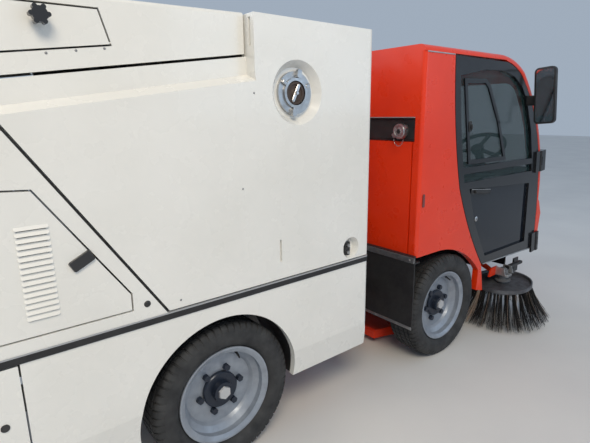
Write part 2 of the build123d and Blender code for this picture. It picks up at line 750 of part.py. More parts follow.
lid_top_z = hopper_top + lid_rise
lid_rear_z = hopper_top - lid_fall
lid_rear_top_x = hopper_rear_x + 70
lid_front_x = step_x - lid_gap
groove_gap = 6.0
lid_outline = (
    (lid_front_x, groove_z(step_x) + groove_gap),
    (lid_front_x, lid_top_z),
    (lid_rear_top_x, lid_rear_z),
    (hopper_rear_x, groove_z(hopper_rear_x) + 90),
    (hopper_rear_x, groove_z(hopper_rear_x) + groove_gap),
)
flap_front_x = ahead(-348)
flap_rear_x = ahead(-770)
flap_front_z = groove_z(flap_front_x) + 66
flap_top = hopper_top - 43.0
flap_lean = 32.0


def flap_z(x):
    """Height of the flap opening's lower edge."""
    return flap_front_z + (x - flap_front_x) * tan(radians(groove_slope))


flap_outline = (
    (flap_front_x, flap_front_z),
    (flap_front_x - flap_lean, flap_top),
    (flap_rear_x + flap_lean, flap_top - 6),
    (flap_rear_x, flap_z(flap_rear_x)),
)
flap_gap = 6.0
flap_axis_dir = (cos(radians(groove_slope)), 0, sin(radians(groove_slope)))
flap_pin_z = (flap_gap + flap_pin_inset) / cos(radians(groove_slope))
flap_pins = []
for x, way in ((flap_front_x - flap_gap - 2, -1), (flap_rear_x + flap_gap + 4, 1)):
    flap_pins.append(Plane(origin=(x, -(upper_half_width - flap_pin_inset), flap_z(x) + flap_pin_z),
                           x_dir=(0, 1, 0), z_dir=flap_axis_dir))
with BuildPart() as lid:
    with BuildSketch(side_plane(-upper_half_width)):
        Polygon(*lid_outline, align=None)
    extrude(amount=2 * upper_half_width)
    fillet(lid.edges().filter_by(Axis.X, tolerance=2).group_by(Axis.Z)[-1], min(14, lid_wall - 5))
    with BuildSketch(side_plane(-(upper_half_width - lid_wall))):
        Polygon((lid_front_x - lid_wall, hopper_floor_z), (lid_front_x - lid_wall, lid_top_z - lid_wall),
                (lid_rear_top_x + 14, lid_rear_z - lid_wall),
                (hopper_rear_x + lid_wall, groove_z(hopper_rear_x) + 86), (hopper_rear_x + lid_wall, hopper_floor_z),
                align=None)
    extrude(amount=2 * (upper_half_width - lid_wall), mode=Mode.SUBTRACT)
    with BuildSketch(side_plane(-upper_half_width - 5)):
        Polygon(*flap_outline, align=None)
    extrude(amount=2 * upper_half_width + 10, mode=Mode.SUBTRACT)
    # Bores for the flaps' pins
    for plane in flap_pins:
        for side in (-1, 1):
            with Locations(Plane(origin=(plane.origin.X, -side * plane.origin.Y, plane.origin.Z),
                                 x_dir=(0, 1, 0), z_dir=flap_axis_dir)):
                Cylinder(flap_pin_radius + running_clearance, 2 * (flap_gap + flap_pin_reach) + 12, mode=Mode.SUBTRACT)
    # Moving knuckles and leaves of the lid's hinges
    for y in lid_hinge_ys:
        with Locations((hinge_x, y, hinge_z)):
            Cylinder(barrel_radius, lid_hinge_segment, rotation=(90, 0, 0))
        with Locations((hinge_x - 17, y, (lid_top_z + hinge_z) / 2 - 1)):
            Box(34, lid_hinge_segment, hinge_z - lid_top_z)
        with Locations((hinge_x, y, hinge_z)):
            Cylinder(barrel_pin_radius + running_clearance, lid_hinge_segment + 2, rotation=(90, 0, 0),
                     mode=Mode.SUBTRACT)
save(lid.part, "hopper_lid")

knob_x = ahead(-557)
knob_z = 1825.0
knob_lobe = 7.0
flap_rim = 10.0
flap_rebate = 8.0
with BuildPart() as flap:
    with BuildSketch(side_plane(upper_half_width - flap_rim)):
        Polygon(*flap_outline, align=None)
        offset(amount=-flap_gap, kind=Kind.INTERSECTION, mode=Mode.REPLACE)
    extrude(amount=flap_rim)
    # Inner part, set back from the rim so that it swings clear of the opening
    with BuildSketch(side_plane(upper_half_width - lid_wall)):
        Polygon(*flap_outline, align=None)
        offset(amount=-flap_gap - flap_rebate, kind=Kind.INTERSECTION, mode=Mode.REPLACE)
    extrude(amount=lid_wall - flap_rim)
    for plane in flap_pins:
        with Locations(plane):
            Cylinder(flap_pin_radius, 2 * (flap_gap + flap_pin_reach))
    with BuildSketch(side_plane(upper_half_width)):
        with Locations((knob_x, knob_z)):
            Circle(12)
    extrude(amount=22)
    with BuildSketch(side_plane(upper_half_width + 22)):
        with Locations((knob_x, knob_z)):
            Circle(22)
            with PolarLocations(23, 6):
                Circle(knob_lobe)
    extrude(amount=24)
save_mirrored(flap.part, "lid_flap")


# Lower skirts, wheel arch liners, belts and rear lower doors

skirt_section = (
    (-body_half_width, belt_bottom),
    (-body_half_width, crease_z),
    (-body_half_width + skirt_lean, skirt_bottom),
    (-body_half_width + skirt_lean + panel, skirt_bottom),
    (-body_half_width + panel, crease_z + 6),
    (-body_half_width + panel, belt_bottom),
)
lower_door_x = housing_rear_x + 60
lower_hinge_x = lower_door_x - door_gap / 2
lower_hinge_y = body_half_width + pin_inset
arch_x = rear_axle_x + arch_shift
with BuildPart() as skirt:
    with BuildSketch(Plane.YZ.offset(skirt_gap_x + door_gap)):
        Polygon(*skirt_section, align=None)
    extrude(amount=hopper_front_x - skirt_gap_x - door_gap)
    front_edges = skirt.edges().filter_by_position(Axis.X, hopper_front_x - 1, hopper_front_x + 1)
    fillet(front_edges.filter_by(Axis.Z).sort_by(Axis.Y)[0], corner_radius)
    with BuildSketch(side_plane(600)):
        with Locations((arch_x, arch_z)):
            Circle(arch_radius)
    extrude(amount=200, mode=Mode.SUBTRACT)
save_pair(skirt.part, "skirts")

with BuildPart() as lower_door:
    with BuildSketch(Plane.YZ.offset(lower_door_x)):
        Polygon(*skirt_section, align=None)
    extrude(amount=skirt_gap_x - lower_door_x)
    with Locations((lower_door_x, -body_half_width, belt_bottom)):
        Box(2000, 200, 2 * door_gap, mode=Mode.SUBTRACT)
    with BuildSketch(side_plane(body_half_width)):
        with Locations((ahead(-811), 592)):
            Circle(13)
    extrude(amount=3)
    for z in lower_hinge_heights:
        with Locations((lower_hinge_x, -lower_hinge_y, z)):
            Cylinder(barrel_radius, lower_hinge_segment)
        with Locations((lower_hinge_x + 19, -(body_half_width + leaf / 2), z)):
            Box(30, leaf, lower_hinge_segment)
        with Locations((lower_hinge_x + 4, -(body_half_width + leaf), z)):
            Box(8, 2 * leaf, lower_hinge_segment)
        with Locations((lower_hinge_x, -lower_hinge_y, z)):
            Cylinder(barrel_pin_radius + running_clearance, lower_hinge_segment + 2, mode=Mode.SUBTRACT)
save_mirrored(lower_door.part, "lower_door")

liner_depth = 240.0
liner_wall = 8.0
liner_radius = arch_radius + 14
with BuildPart() as liner:
    with BuildSketch(side_plane(inner_half - 1 - liner_depth)):
        with Locations((arch_x, arch_z)):
            Circle(liner_radius)
            Circle(liner_radius - liner_wall, mode=Mode.SUBTRACT)
        with Locations((arch_x, skirt_bottom - 500)):
            Rectangle(1200, 1000, mode=Mode.SUBTRACT)
    extrude(amount=liner_depth)
    add(skirt.part, mode=Mode.SUBTRACT)
save_pair(liner.part, "arch_liners")

with BuildPart() as belt:
    with Locations(((housing_rear_x + hopper_front_x) / 2, -body_half_width + (panel - belt_proud) / 2,
                    (belt_bottom + belt_top) / 2)):
        Box(hopper_front_x - housing_rear_x, panel + belt_proud, belt_top - belt_bottom)
    fillet(belt.edges().filter_by(Axis.Z).group_by(Axis.X)[-1].sort_by(Axis.Y)[0], corner_radius)
save_pair(belt.part, "belt_trims")

with BuildPart() as rear_panel:
    with Locations((housing_rear_x + panel / 2, 0, (rail_bottom - 40 + belt_bottom) / 2)):
        Box(panel, 2 * inner_half + panel, belt_bottom - rail_bottom + 40)
    with Locations(((housing_rear_x + panel + rail_rear_x) / 2, 0, (rail_bottom + rail_top) / 2)):
        Box(rail_rear_x - housing_rear_x - panel, 2 * rail_outer_y, rail_top - rail_bottom)
    # Side returns with the fixed leaves and knuckles of the lower doors' hinges
    with BuildSketch(Plane.YZ.offset(housing_rear_x)):
        Polygon(*skirt_section, align=None)
        Polygon(*[(-y, z) for y, z in skirt_section], align=None)
    extrude(amount=lower_door_x - door_gap - housing_rear_x)
    for side in (-1, 1):
        for z in lower_hinge_heights:
            for step in (-1, 1):
                level = z + step * (lower_hinge_segment + 1)
                with Locations((lower_hinge_x, side * lower_hinge_y, level)):
                    Cylinder(barrel_radius, lower_hinge_segment)
                with Locations((lower_hinge_x - 19, side * (body_half_width + leaf / 2), level)):
                    Box(30, leaf, lower_hinge_segment)
                with Locations((lower_hinge_x - 4, side * (body_half_width + leaf), level)):
                    Box(8, 2 * leaf, lower_hinge_segment)
            with Locations((lower_hinge_x, side * lower_hinge_y, z)):
                Cylinder(barrel_pin_radius, 3 * lower_hinge_segment)
save(rear_panel.part, "rear_panel")


# Cab shell: outer form less inner form, later divided into its panels

# Middle section of the front as (distance ahead of the rear axle, height)
bow_x = cab_front_x - bow_radius
form_bottom = 200.0
lower_front = ((2797.0, form_bottom), (2860.0, 770.0), (2808.0, 878.0), (2796.0, 878.0), (2790.0, 1000.0))
screen_mid = (2657.0, 1444.0)
screen_top = (2371.0, 1802.0)
brow_mid = (2233.0, 1862.0)
roof_front = (2060.0, cab_top)


def bow(point):
    """Section point as (radius about the bow's upright axis, height)."""
    return (ahead(point[0]) - bow_x, point[1])


def cab_form(shrink):
    """Cab body: middle section swept round the bow, cut square at the sides and rear, moved in by shrink."""
    inside_radius = cab_rear_x - bow_x - 300
    half = cab_half_width - shrink
    rear = cab_rear_x + shrink
    with BuildPart() as form:
        with BuildSketch(Plane(origin=(bow_x, 0, 0), x_dir=(-1, 0, 0), z_dir=(0, 1, 0))):
            with BuildLine():
                Polyline((inside_radius, form_bottom), *[bow(point) for point in lower_front])
                ThreePointArc(bow(lower_front[-1]), bow(screen_mid), bow(screen_top))
                ThreePointArc(bow(screen_top), bow(brow_mid), bow(roof_front))
                Polyline(bow(roof_front), (inside_radius, cab_top), (inside_radius, form_bottom))
            make_face()
            if shrink > 0:
                offset(amount=-shrink, kind=Kind.INTERSECTION, mode=Mode.REPLACE)
        revolve(axis=Axis((bow_x, 0, 0), (0, 0, 1)))
        with Locations(((rear + cab_front_x + 50) / 2, 0, cab_top / 2)):
            Box(cab_front_x + 50 - rear, 2 * half, cab_top + 100, mode=Mode.INTERSECT)
        if shrink < cab_corner - 5:
            sides = form.edges().filter_by(lambda edge: abs(abs(edge.center().Y) - half) < 0.5)
            sides = sides.filter_by(lambda edge: edge.center().X > rear + 1 and edge.center().Z > form_bottom + shrink + 1)
            fillet(sides, cab_corner - shrink)
    return form.part


cab_outer = cab_form(0)
cab_inner = cab_form(cab_wall)
with BuildPart() as cab_shell:
    add(cab_outer)
    add(cab_inner, mode=Mode.SUBTRACT)

# Door edge, from the rear upper corner down, forwards and round, seen from the side
with BuildSketch() as door_shape:
    with BuildLine():
        ThreePointArc((ahead(1489), 1848), (ahead(1536), 1440), (ahead(1620), 1085))
        ThreePointArc((ahead(1620), 1085), (ahead(1745), 832), (ahead(1955), 524))
        Polyline((ahead(1955), 524), (ahead(2725), 499), (ahead(2714), 797), (ahead(2686), 1041))
        ThreePointArc((ahead(2686), 1041), (ahead(2513), 1511), (ahead(2277.5), 1768))
        ThreePointArc((ahead(2277.5), 1768), (ahead(2175), 1818), (ahead(2061), 1845))
        Line((ahead(2061), 1845), (ahead(1489), 1848))
    make_face()

rear_seam_x = cab_rear_x + cab_wall
cab_inner_half = cab_half_width - cab_wall
with BuildPart() as cab_side:
    add(cab_shell.part)
    with BuildSketch(side_plane(cab_inner_half)):
        with BuildLine():
            Line((cab_rear_x, cab_bottom_rear), (ahead(1457), cab_bottom_rear))
            ThreePointArc((ahead(1457), cab_bottom_rear), (ahead(1621), 693), (ahead(1920), 493))
            Polyline((ahead(1920), 493), (ahead(1916), 349), (ahead(1997), 328), (ahead(1955), 524), (ahead(1700), 1200),
                     (ahead(1489), roof_seam_z), (cab_rear_x, roof_seam_z), (cab_rear_x, cab_bottom_rear))
        make_face()
        add(door_shape.sketch, mode=Mode.SUBTRACT)
    extrude(amount=cab_wall, mode=Mode.INTERSECT)
    with Locations((cab_rear_x + cab_wall / 2, 0, cab_top / 2)):
        Box(cab_wall, 2 * (cab_half_width - cab_rear_corner), cab_top, mode=Mode.SUBTRACT)
    fillet(cab_side.edges().filter_by(Axis.Z).filter_by_position(Axis.X, cab_rear_x - 1, cab_rear_x + 1)
           .sort_by(Axis.Y)[0], cab_rear_corner - 4)
save_pair(cab_side.part, "cab_sides")

seam_gap_y = 709.0
seam_gap = 10.0
strip_bottom = 1378.0
strip_top = 1514.0
strip_half = 721.0
strip_depth = 20.0
with BuildPart() as cab_rear:
    add(cab_shell.part)
    with Locations((cab_rear_x + cab_wall / 2, 0, (cab_bottom_rear + roof_seam_z) / 2)):
        Box(cab_wall, 2 * (cab_half_width - cab_rear_corner) - 1, roof_seam_z - cab_bottom_rear, mode=Mode.INTERSECT)
    with Locations((cab_rear_x, 0, (strip_bottom + strip_top) / 2)):
        Box(2 * strip_depth, 2 * strip_half, strip_top - strip_bottom, mode=Mode.SUBTRACT)
    for side in (-1, 1):
        with Locations((cab_rear_x, side * seam_gap_y, (cab_bottom_rear + strip_bottom) / 2)):
            Box(2 * strip_depth, seam_gap, strip_bottom - cab_bottom_rear + 2, mode=Mode.SUBTRACT)
save(cab_rear.part, "cab_rear_wall")

roof_front_x = ahead(2061)
with BuildPart() as cab_roof:
    add(cab_shell.part)
    with Locations(((cab_rear_x + roof_front_x) / 2, 0, roof_seam_z + 50)):
        Box(roof_front_x - cab_rear_x, 2 * cab_half_width + 10, 100, mode=Mode.INTERSECT)
save(cab_roof.part, "cab_roof")

screen_half_width = 665.0
screen_bottom = 930.0
screen_height = 800.0
screen_corner = 60.0
with BuildPart() as cab_front:
    add(cab_shell.part)
    with BuildSketch(side_plane(-cab_half_width - 10)):
        Polygon((ahead(2725), cab_bottom_front), (cab_front_x + 100, cab_bottom_front),
                (cab_front_x + 100, cab_top + 100), (roof_front_x, cab_top + 100), (roof_front_x, 1700),
                (ahead(2400), 1500), (ahead(2600), 1000), (ahead(2725), 499), align=None)
        add(door_shape.sketch, mode=Mode.SUBTRACT)
    extrude(amount=2 * cab_half_width + 20, mode=Mode.INTERSECT)
    with BuildSketch(Plane.YZ.offset(ahead(2150))):
        with Locations((0, screen_bottom + screen_height / 2)):
            RectangleRounded(2 * screen_half_width, screen_height, screen_corner)
    extrude(amount=900, mode=Mode.SUBTRACT)
save(cab_front.part, "cab_front")

with BuildPart() as windscreen:
    add(cab_form(12))
    add(cab_form(12 + glass_thickness), mode=Mode.SUBTRACT)
    with BuildSketch(Plane.YZ.offset(ahead(2150))):
        with Locations((0, screen_bottom + screen_height / 2)):
            RectangleRounded(2 * screen_half_width - 1, screen_height - 1, screen_corner)
    extrude(amount=900, mode=Mode.INTERSECT)
save(windscreen.part, "windscreen")

# Doors with three openings, their glass and the sliding window's frame

upper_window = (
    (ahead(1650), 1204.0),
    (ahead(1598), 1433.0),
    (ahead(1556), 1738.0),
    (ahead(1824), 1783.0),
    (ahead(2039), 1785.0),
    (ahead(2177), 1756.0),
    (ahead(2292), 1696.0),
    (ahead(2377), 1611.0),
    (ahead(2483), 1407.0),
    (ahead(2543), 1204.0),
)
strip_window = (
    (ahead(1668), 1111.0),
    (ahead(1660), 1165.0),
    (ahead(2548), 1165.0),
    (ahead(2560), 1111.0),
)
lower_window = (
    (ahead(1737), 1067.0),
    (ahead(2539), 1024.0),
    (ahead(2559), 579.0),
    (ahead(1990), 579.0),
    (ahead(1830), 832.0),
)
door_windows = (upper_window, strip_window, lower_window)
slider_outline = (
    (ahead(1714), 1222.0),
    (ahead(1610), 1725.0),
    (ahead(1848), 1732.0),
    (ahead(1900), 1695.0),
    (ahead(2048), 1483.0),
    (ahead(2178), 1217.0),
)
slider_bar = 26.0
slider_thickness = 10.0
glass_y = cab_half_width - cab_wall / 2
hinge_axis = (cab_hinge_head[0] - cab_hinge_foot[0], 0, cab_hinge_head[1] - cab_hinge_foot[1])
hinge_forward = (hinge_axis[2], 0, -hinge_axis[0])
knuckle_moving = 60.0
knuckle_fixed = 46.0
knuckle_play = 0.5
pad_length = 2 * knuckle_fixed + knuckle_moving
pad_reach = 70.0
pad_thickness = 14.0
# Each hinge as (point on the axis, length of the fixed leaf ahead of it)
cab_hinges = ((cab_hinge_foot, 20.0), (cab_hinge_head, 56.0))


def cab_hinge_plane(point):
    """Plane on the right door's hinge axis: x forward, y to the left, z up along the axis."""
    return Plane(origin=(point[0], -cab_hinge_y, point[1]), x_dir=hinge_forward, z_dir=hinge_axis)


with BuildPart() as door:
    add(cab_shell.part)
    with BuildSketch(side_plane(cab_inner_half)):
        add(door_shape.sketch)
        offset(amount=-door_gap, kind=Kind.INTERSECTION, mode=Mode.REPLACE)
    extrude(amount=cab_wall, mode=Mode.INTERSECT)
    with BuildSketch(side_plane(cab_inner_half - 5)):
        for window in door_windows:
            Polygon(*window, align=None)
    extrude(amount=cab_wall + 10, mode=Mode.SUBTRACT)
    for point, reach in cab_hinges:
        with Locations(cab_hinge_plane(point)):
            Cylinder(cab_hinge_radius, knuckle_moving)
            with Locations((-pad_reach / 2, cab_hinge_y - cab_half_width - 4, 0)):
                Box(pad_reach, 8, knuckle_moving)
            with Locations((-(pad_reach + 14) / 2, cab_hinge_y - cab_half_width - pad_thickness / 2, 0)):
                Box(pad_reach - 14, pad_thickness, pad_length)
            Cylinder(pin_radius + running_clearance, knuckle_moving + 2, mode=Mode.SUBTRACT)
    with BuildSketch(side_plane(glass_y + glass_thickness / 2)):
        Polygon(*slider_outline, align=None)
        offset(amount=-slider_bar, kind=Kind.INTERSECTION, mode=Mode.SUBTRACT)
    extrude(amount=slider_thickness)
save_mirrored(door.part, "cab_door")

with BuildPart() as door_glass:
    with BuildSketch(side_plane(glass_y - glass_thickness / 2)):
        for window in door_windows:
            Polygon(*window, align=None)
    extrude(amount=glass_thickness)
save_mirrored(door_glass.part, "door_glass")

with BuildPart() as door_hinge:
    for point, reach in cab_hinges:
        with Locations(cab_hinge_plane(point)):
            for level in (-1, 1):
                with Locations((0, 0, level * (knuckle_moving + knuckle_fixed) / 2 + level * knuckle_play)):
                    Cylinder(cab_hinge_radius, knuckle_fixed)
            Cylinder(pin_radius, pad_length)
            with Locations((2 + reach / 2, (cab_corner - cab_hinge_radius) / 2, 0)):
                Box(reach, cab_corner + cab_hinge_radius, pad_length)
            # The middle is cut back for the moving knuckle
            Cylinder(cab_hinge_radius + 4, knuckle_moving + 2 * knuckle_play, mode=Mode.SUBTRACT)
            Cylinder(pin_radius, knuckle_moving + 4)
    add(cab_outer, mode=Mode.SUBTRACT)
save_pair(door_hinge.part, "door_hinges")

# Cab floor: platform over the wheels, step down and foot well

floor_half = cab_inner_half - floor_play
floor_front_x = ahead(2690)
floor_outline = (
    (rear_seam_x, platform_z),
    (footwell_x, platform_z),
    (footwell_x, footwell_z),
    (floor_front_x, footwell_z),
    (floor_front_x, footwell_z + floor_thickness),
    (footwell_x + floor_thickness, footwell_z + floor_thickness),
    (footwell_x + floor_thickness, platform_z + floor_thickness),
    (rear_seam_x, platform_z + floor_thickness),
)
with BuildPart() as cab_floor:
    with BuildSketch(side_plane(-floor_half)):
        Polygon(*floor_outline, align=None)
    extrude(amount=2 * floor_half)
    with Locations(((rear_seam_x + ahead(1440)) / 2, 0, platform_z + floor_thickness / 2)):
        Box(ahead(1440) - rear_seam_x, 2 * cab_inner_half, floor_thickness)
    for side in (-1, 1):
        with Locations((ahead(2100), side * (rail_outer_y - rail_width / 2), (rail_top + footwell_z) / 2)):
            Box(60, rail_width, footwell_z - rail_top)
        with Locations((ahead(1350), side * (rail_outer_y - rail_width / 2), (rail_top + platform_z) / 2)):
            Box(60, rail_width, platform_z - rail_top)
save(cab_floor.part, "cab_floor")

# Seats, dashboard and steering wheel

seat_depth = 440.0
seat_width = 460.0
seat_back_lean = 160.0
seat_back_height = 600.0
seat_rear_x = rear_seam_x + 18
seat_front_x = seat_rear_x + seat_back_lean + seat_depth
seat_top = platform_z + floor_thickness
cushion_z = seat_top + 150
with BuildPart() as seat:
    with BuildSketch(side_plane(-driver_y - seat_width / 2)):
        Polygon((seat_front_x, cushion_z), (seat_front_x, cushion_z + 70), (seat_front_x - 40, cushion_z + 100),
                (seat_rear_x + seat_back_lean, cushion_z + 80), (seat_rear_x + 70, cushion_z + seat_back_height),
                (seat_rear_x, cushion_z + seat_back_height - 10), (seat_rear_x + 70, cushion_z), align=None)
    extrude(amount=seat_width)
    fillet(seat.edges().filter_by(Axis.Y), 18)
    with Locations((seat_front_x - seat_depth / 2 - 30, driver_y, (seat_top + cushion_z) / 2)):
        Box(360, 340, cushion_z - seat_top)
save_pair(seat.part, "seats")

steering_x = ahead(2300)
steering_z = 1272.0
steering_radius = 200.0
steering_rim = 14.0
steering_lean = 32.0
dash_front_x = ahead(2660)
dash_bottom = 960.0
dash_half = cab_inner_half - 30
column_y = driver_y - 40
with BuildPart() as dashboard:
    with BuildSketch(side_plane(-dash_half)):
        Polygon((dash_front_x, dash_bottom), (dash_front_x - 40, dash_bottom + 170),
                (dash_front_x - 230, dash_bottom + 190), (dash_front_x - 300, dash_bottom + 130),
                (dash_front_x - 200, dash_bottom), align=None)
    extrude(amount=2 * dash_half)
    with Locations((dash_front_x - 50, 0, (dash_bottom + footwell_z + floor_thickness) / 2)):
        Box(60, 900, dash_bottom - footwell_z - floor_thickness)
    with BuildSketch(Plane(origin=(steering_x, column_y, steering_z), x_dir=(0, 1, 0),
                           z_dir=(sin(radians(steering_lean)), 0, -cos(radians(steering_lean)))).offset(24)):
        Circle(30)
    extrude(amount=210)
save(dashboard.part, "dashboard")

with BuildPart() as steering_wheel:
    wheel_plane = Plane(origin=(steering_x, column_y, steering_z), x_dir=(0, 1, 0),
                        z_dir=(-sin(radians(steering_lean)), 0, cos(radians(steering_lean))))
    with BuildSketch(Plane(origin=wheel_plane.origin, x_dir=wheel_plane.x_dir, z_dir=wheel_plane.y_dir)):
        with Locations((steering_radius - steering_rim, 0)):
            RegularPolygon(steering_rim, 8)
    revolve(axis=Axis(wheel_plane.origin, wheel_plane.z_dir))
    with Locations(wheel_plane.offset(-24)):
        Cylinder(44, 40, align=(Align.CENTER, Align.CENTER, Align.MIN))
    for angle in (-90, 20, 160):
        with Locations(wheel_plane * Location((0, 0, 0), (0, 0, angle)) * Location((steering_radius / 2, 0, -2))):
            Box(steering_radius - 20, 26, 12)
save(steering_wheel.part, "steering_wheel")

# Pieces outside the cab

mud_x = cab_rear_x - 32
mud_inner_y = 400.0
mud_outer_y = 785.0
mud_bottom = 285.0
mud_top = 735.0
mud_thickness = 8.0
seat_play = 0.3
with BuildPart() as mud_plate:
    with Locations((mud_x + mud_thickness / 2, -(mud_inner_y + mud_outer_y) / 2, (mud_bottom + mud_top) / 2)):
        Box(mud_thickness, mud_outer_y - mud_inner_y, mud_top - mud_bottom)
    with Locations(((mud_x + cab_rear_x - seat_play) / 2, -(mud_inner_y + cab_half_width) / 2, mud_top - 6)):
        Box(cab_rear_x - seat_play - mud_x, cab_half_width - mud_inner_y, 12)
    with Locations((mud_x + 25, -(mud_outer_y - 20), 699)):
        Box(50, 40, 8)
save_pair(mud_plate.part, "mud_plates")

fill_y = -637.0
fill_z = 1435.5
fill_radius = 42.0
fill_face_x = cab_rear_x + strip_depth
with BuildPart() as fill:
    with Locations(Plane(origin=(fill_face_x, fill_y, fill_z), z_dir=(-1, 0, 0))):
        Cylinder(fill_radius - 12, strip_depth + 6, align=(Align.CENTER, Align.CENTER, Align.MIN))
    with Locations(Plane(origin=(cab_rear_x - 6, fill_y, fill_z), z_dir=(-1, 0, 0))):
        Cylinder(fill_radius, 24, align=(Align.CENTER, Align.CENTER, Align.MIN))
    with BuildSketch(Plane(origin=(cab_rear_x - 16, fill_y, fill_z), x_dir=(0, 1, 0), z_dir=(-1, 0, 0))):
        with PolarLocations(fill_radius, 2, start_angle=30):
            RectangleRounded(26, 24, 6)
    extrude(amount=14)
save(fill.part, "fill_coupling")

mirror_x = ahead(2380)
mirror_y = 900.0
mirror_z = 1632.0
mirror_width = 165.0
mirror_height = 380.0
mirror_depth = 40.0
mirror_arm_z = 1606.0
with BuildPart() as side_mirror:
    with BuildSketch(Plane.YZ.offset(mirror_x - mirror_depth / 2)):
        with Locations((-mirror_y, mirror_z)):
            RectangleRounded(mirror_width, mirror_height, 30)
    extrude(amount=mirror_depth, taper=8)
    with Locations((mirror_x + 24, -(cab_half_width + mirror_y) / 2, mirror_arm_z)):
        Box(30, mirror_y - cab_half_width, 40)
    with Locations((mirror_x + 12, -(cab_half_width + 6), mirror_arm_z)):
        Box(110, 12, 70)
save_mirrored(side_mirror.part, "mirror")

front_lamp_x = ahead(2838)
lamp_z = 640.0
with BuildPart() as lamp:
    with BuildSketch(Plane.YZ.offset(front_lamp_x)):
        with Locations((-560, lamp_z)):
            RectangleRounded(240, 130, 30)
    extrude(amount=-60)
    add(cab_outer, mode=Mode.SUBTRACT)
    with BuildSketch(Plane.YZ.offset(housing_rear_x)):
        with Locations((-590, lamp_z)):
            RectangleRounded(220, 110, 14)
    extrude(amount=-lamp_proud)
save_pair(lamp.part, "lamps")

# Side brushes: turret, arm with motor, and brush

arm_hinge_y = turret_y + arm_reach
cheek_x = arm_width / 2 + 14
cheek_length = arm_reach + 18
with BuildPart() as turret:
    with Locations((brush_x, -turret_y, turret_z)):
        Cylinder(turret_radius, turret_height)
    for end in (-1, 1):
        with Locations((brush_x + end * cheek_x, -(turret_y + cheek_length / 2), turret_z)):
            Box(14, cheek_length, 44)
    with Locations((brush_x, -(turret_y + 16), turret_z)):
        Box(2 * cheek_x + 14, 24, 44)
    with Locations((brush_x, -arm_hinge_y, turret_z)):
        Cylinder(arm_pin_radius, 2 * cheek_x + 14, rotation=(0, 90, 0))
    with Locations((brush_x, -turret_y, turret_z)):
        Cylinder(turret_pin_radius + running_clearance, turret_height + 20, mode=Mode.SUBTRACT)
save_mirrored(turret.part, "brush_turret")

brush_lean = radians(brush_tilt)
brush_axis = (-sin(brush_lean), 0, cos(brush_lean))
plate_centre = (brush_x, -brush_y, brush_plate_z)
brush_plane = Plane(origin=plate_centre, x_dir=(0, 1, 0), z_dir=brush_axis)
plate_thickness = 14.0
motor_foot = plate_thickness + 8
arm_plate_z = brush_plate_z + 66
with BuildPart() as brush_arm:
    with Locations((brush_x, -arm_hinge_y, turret_z)):
        Cylinder(18, arm_width, rotation=(0, 90, 0))
    with BuildSketch(Plane.YZ.offset(brush_x - arm_width / 2)):
        Polygon((-arm_hinge_y + 6, turret_z + 16), (-arm_hinge_y + 6, turret_z - 16),
                (-brush_y + 90, arm_plate_z - 8), (-brush_y - 40, arm_plate_z - 8), (-brush_y - 40, arm_plate_z + 8),
                (-brush_y + 84, arm_plate_z + 8), align=None)
    extrude(amount=arm_width)
    with Locations(brush_plane.offset(motor_foot)):
        Cylinder(motor_radius + 20, 10, align=(Align.CENTER, Align.CENTER, Align.MIN))
        Cylinder(motor_radius, motor_length, align=(Align.CENTER, Align.CENTER, Align.MIN))
    with Locations((brush_x, -arm_hinge_y, turret_z)):
        Cylinder(arm_pin_radius + running_clearance, 90, rotation=(0, 90, 0), mode=Mode.SUBTRACT)
    with Locations(brush_plane.offset(plate_thickness)):
        Cylinder(12 + running_clearance, 60, align=(Align.CENTER, Align.CENTER, Align.MIN), mode=Mode.SUBTRACT)
save_mirrored(brush_arm.part, "brush_arm")

# Tufts of the brush as rings of (count, foot radius, tip radius, foot size, tip size)
tuft_rings = (
    (28, brush_ring_radius - 12, brush_tip_radius - 22, 15.0, 26.0),
    (20, brush_ring_inner + 12, brush_tip_radius - 96, 14.0, 24.0),
)
with BuildPart() as brush:
    with Locations(brush_plane):
        Cylinder(brush_ring_inner + 5, plate_thickness, align=(Align.CENTER, Align.CENTER, Align.MIN))
        Cylinder(12, plate_thickness + 50, align=(Align.CENTER, Align.CENTER, Align.MIN))
    with BuildSketch(brush_plane.offset(-8)):
        Circle(brush_ring_radius)
        Circle(brush_ring_inner, mode=Mode.SUBTRACT)
    extrude(amount=brush_ring_height)
    for count, foot, tip, foot_size, tip_size in tuft_rings:
        drop = brush_plate_z - brush_tip_z - tip * sin(brush_lean) - tip_size
        lean = atan2(tip - foot, drop)
        length = hypot(tip - foot, drop)
        flare = degrees(atan2(tip_size - foot_size, length))
        for number in range(count):
            turn = radians(360 * number / count)
            away = Vector(cos(turn), sin(turn), 0)
            direction = Vector(away.X * sin(lean), away.Y * sin(lean), -cos(lean))
            local = Plane(origin=away * foot, x_dir=(-sin(turn), cos(turn), 0), z_dir=direction)
            with BuildSketch(brush_plane * local.location):
                RegularPolygon(foot_size, 6)
            extrude(amount=length, taper=-flare)
save_mirrored(brush.part, "side_brush")

# Suction mouth: a low hood behind the front axle, its channel, open below, back to the duct

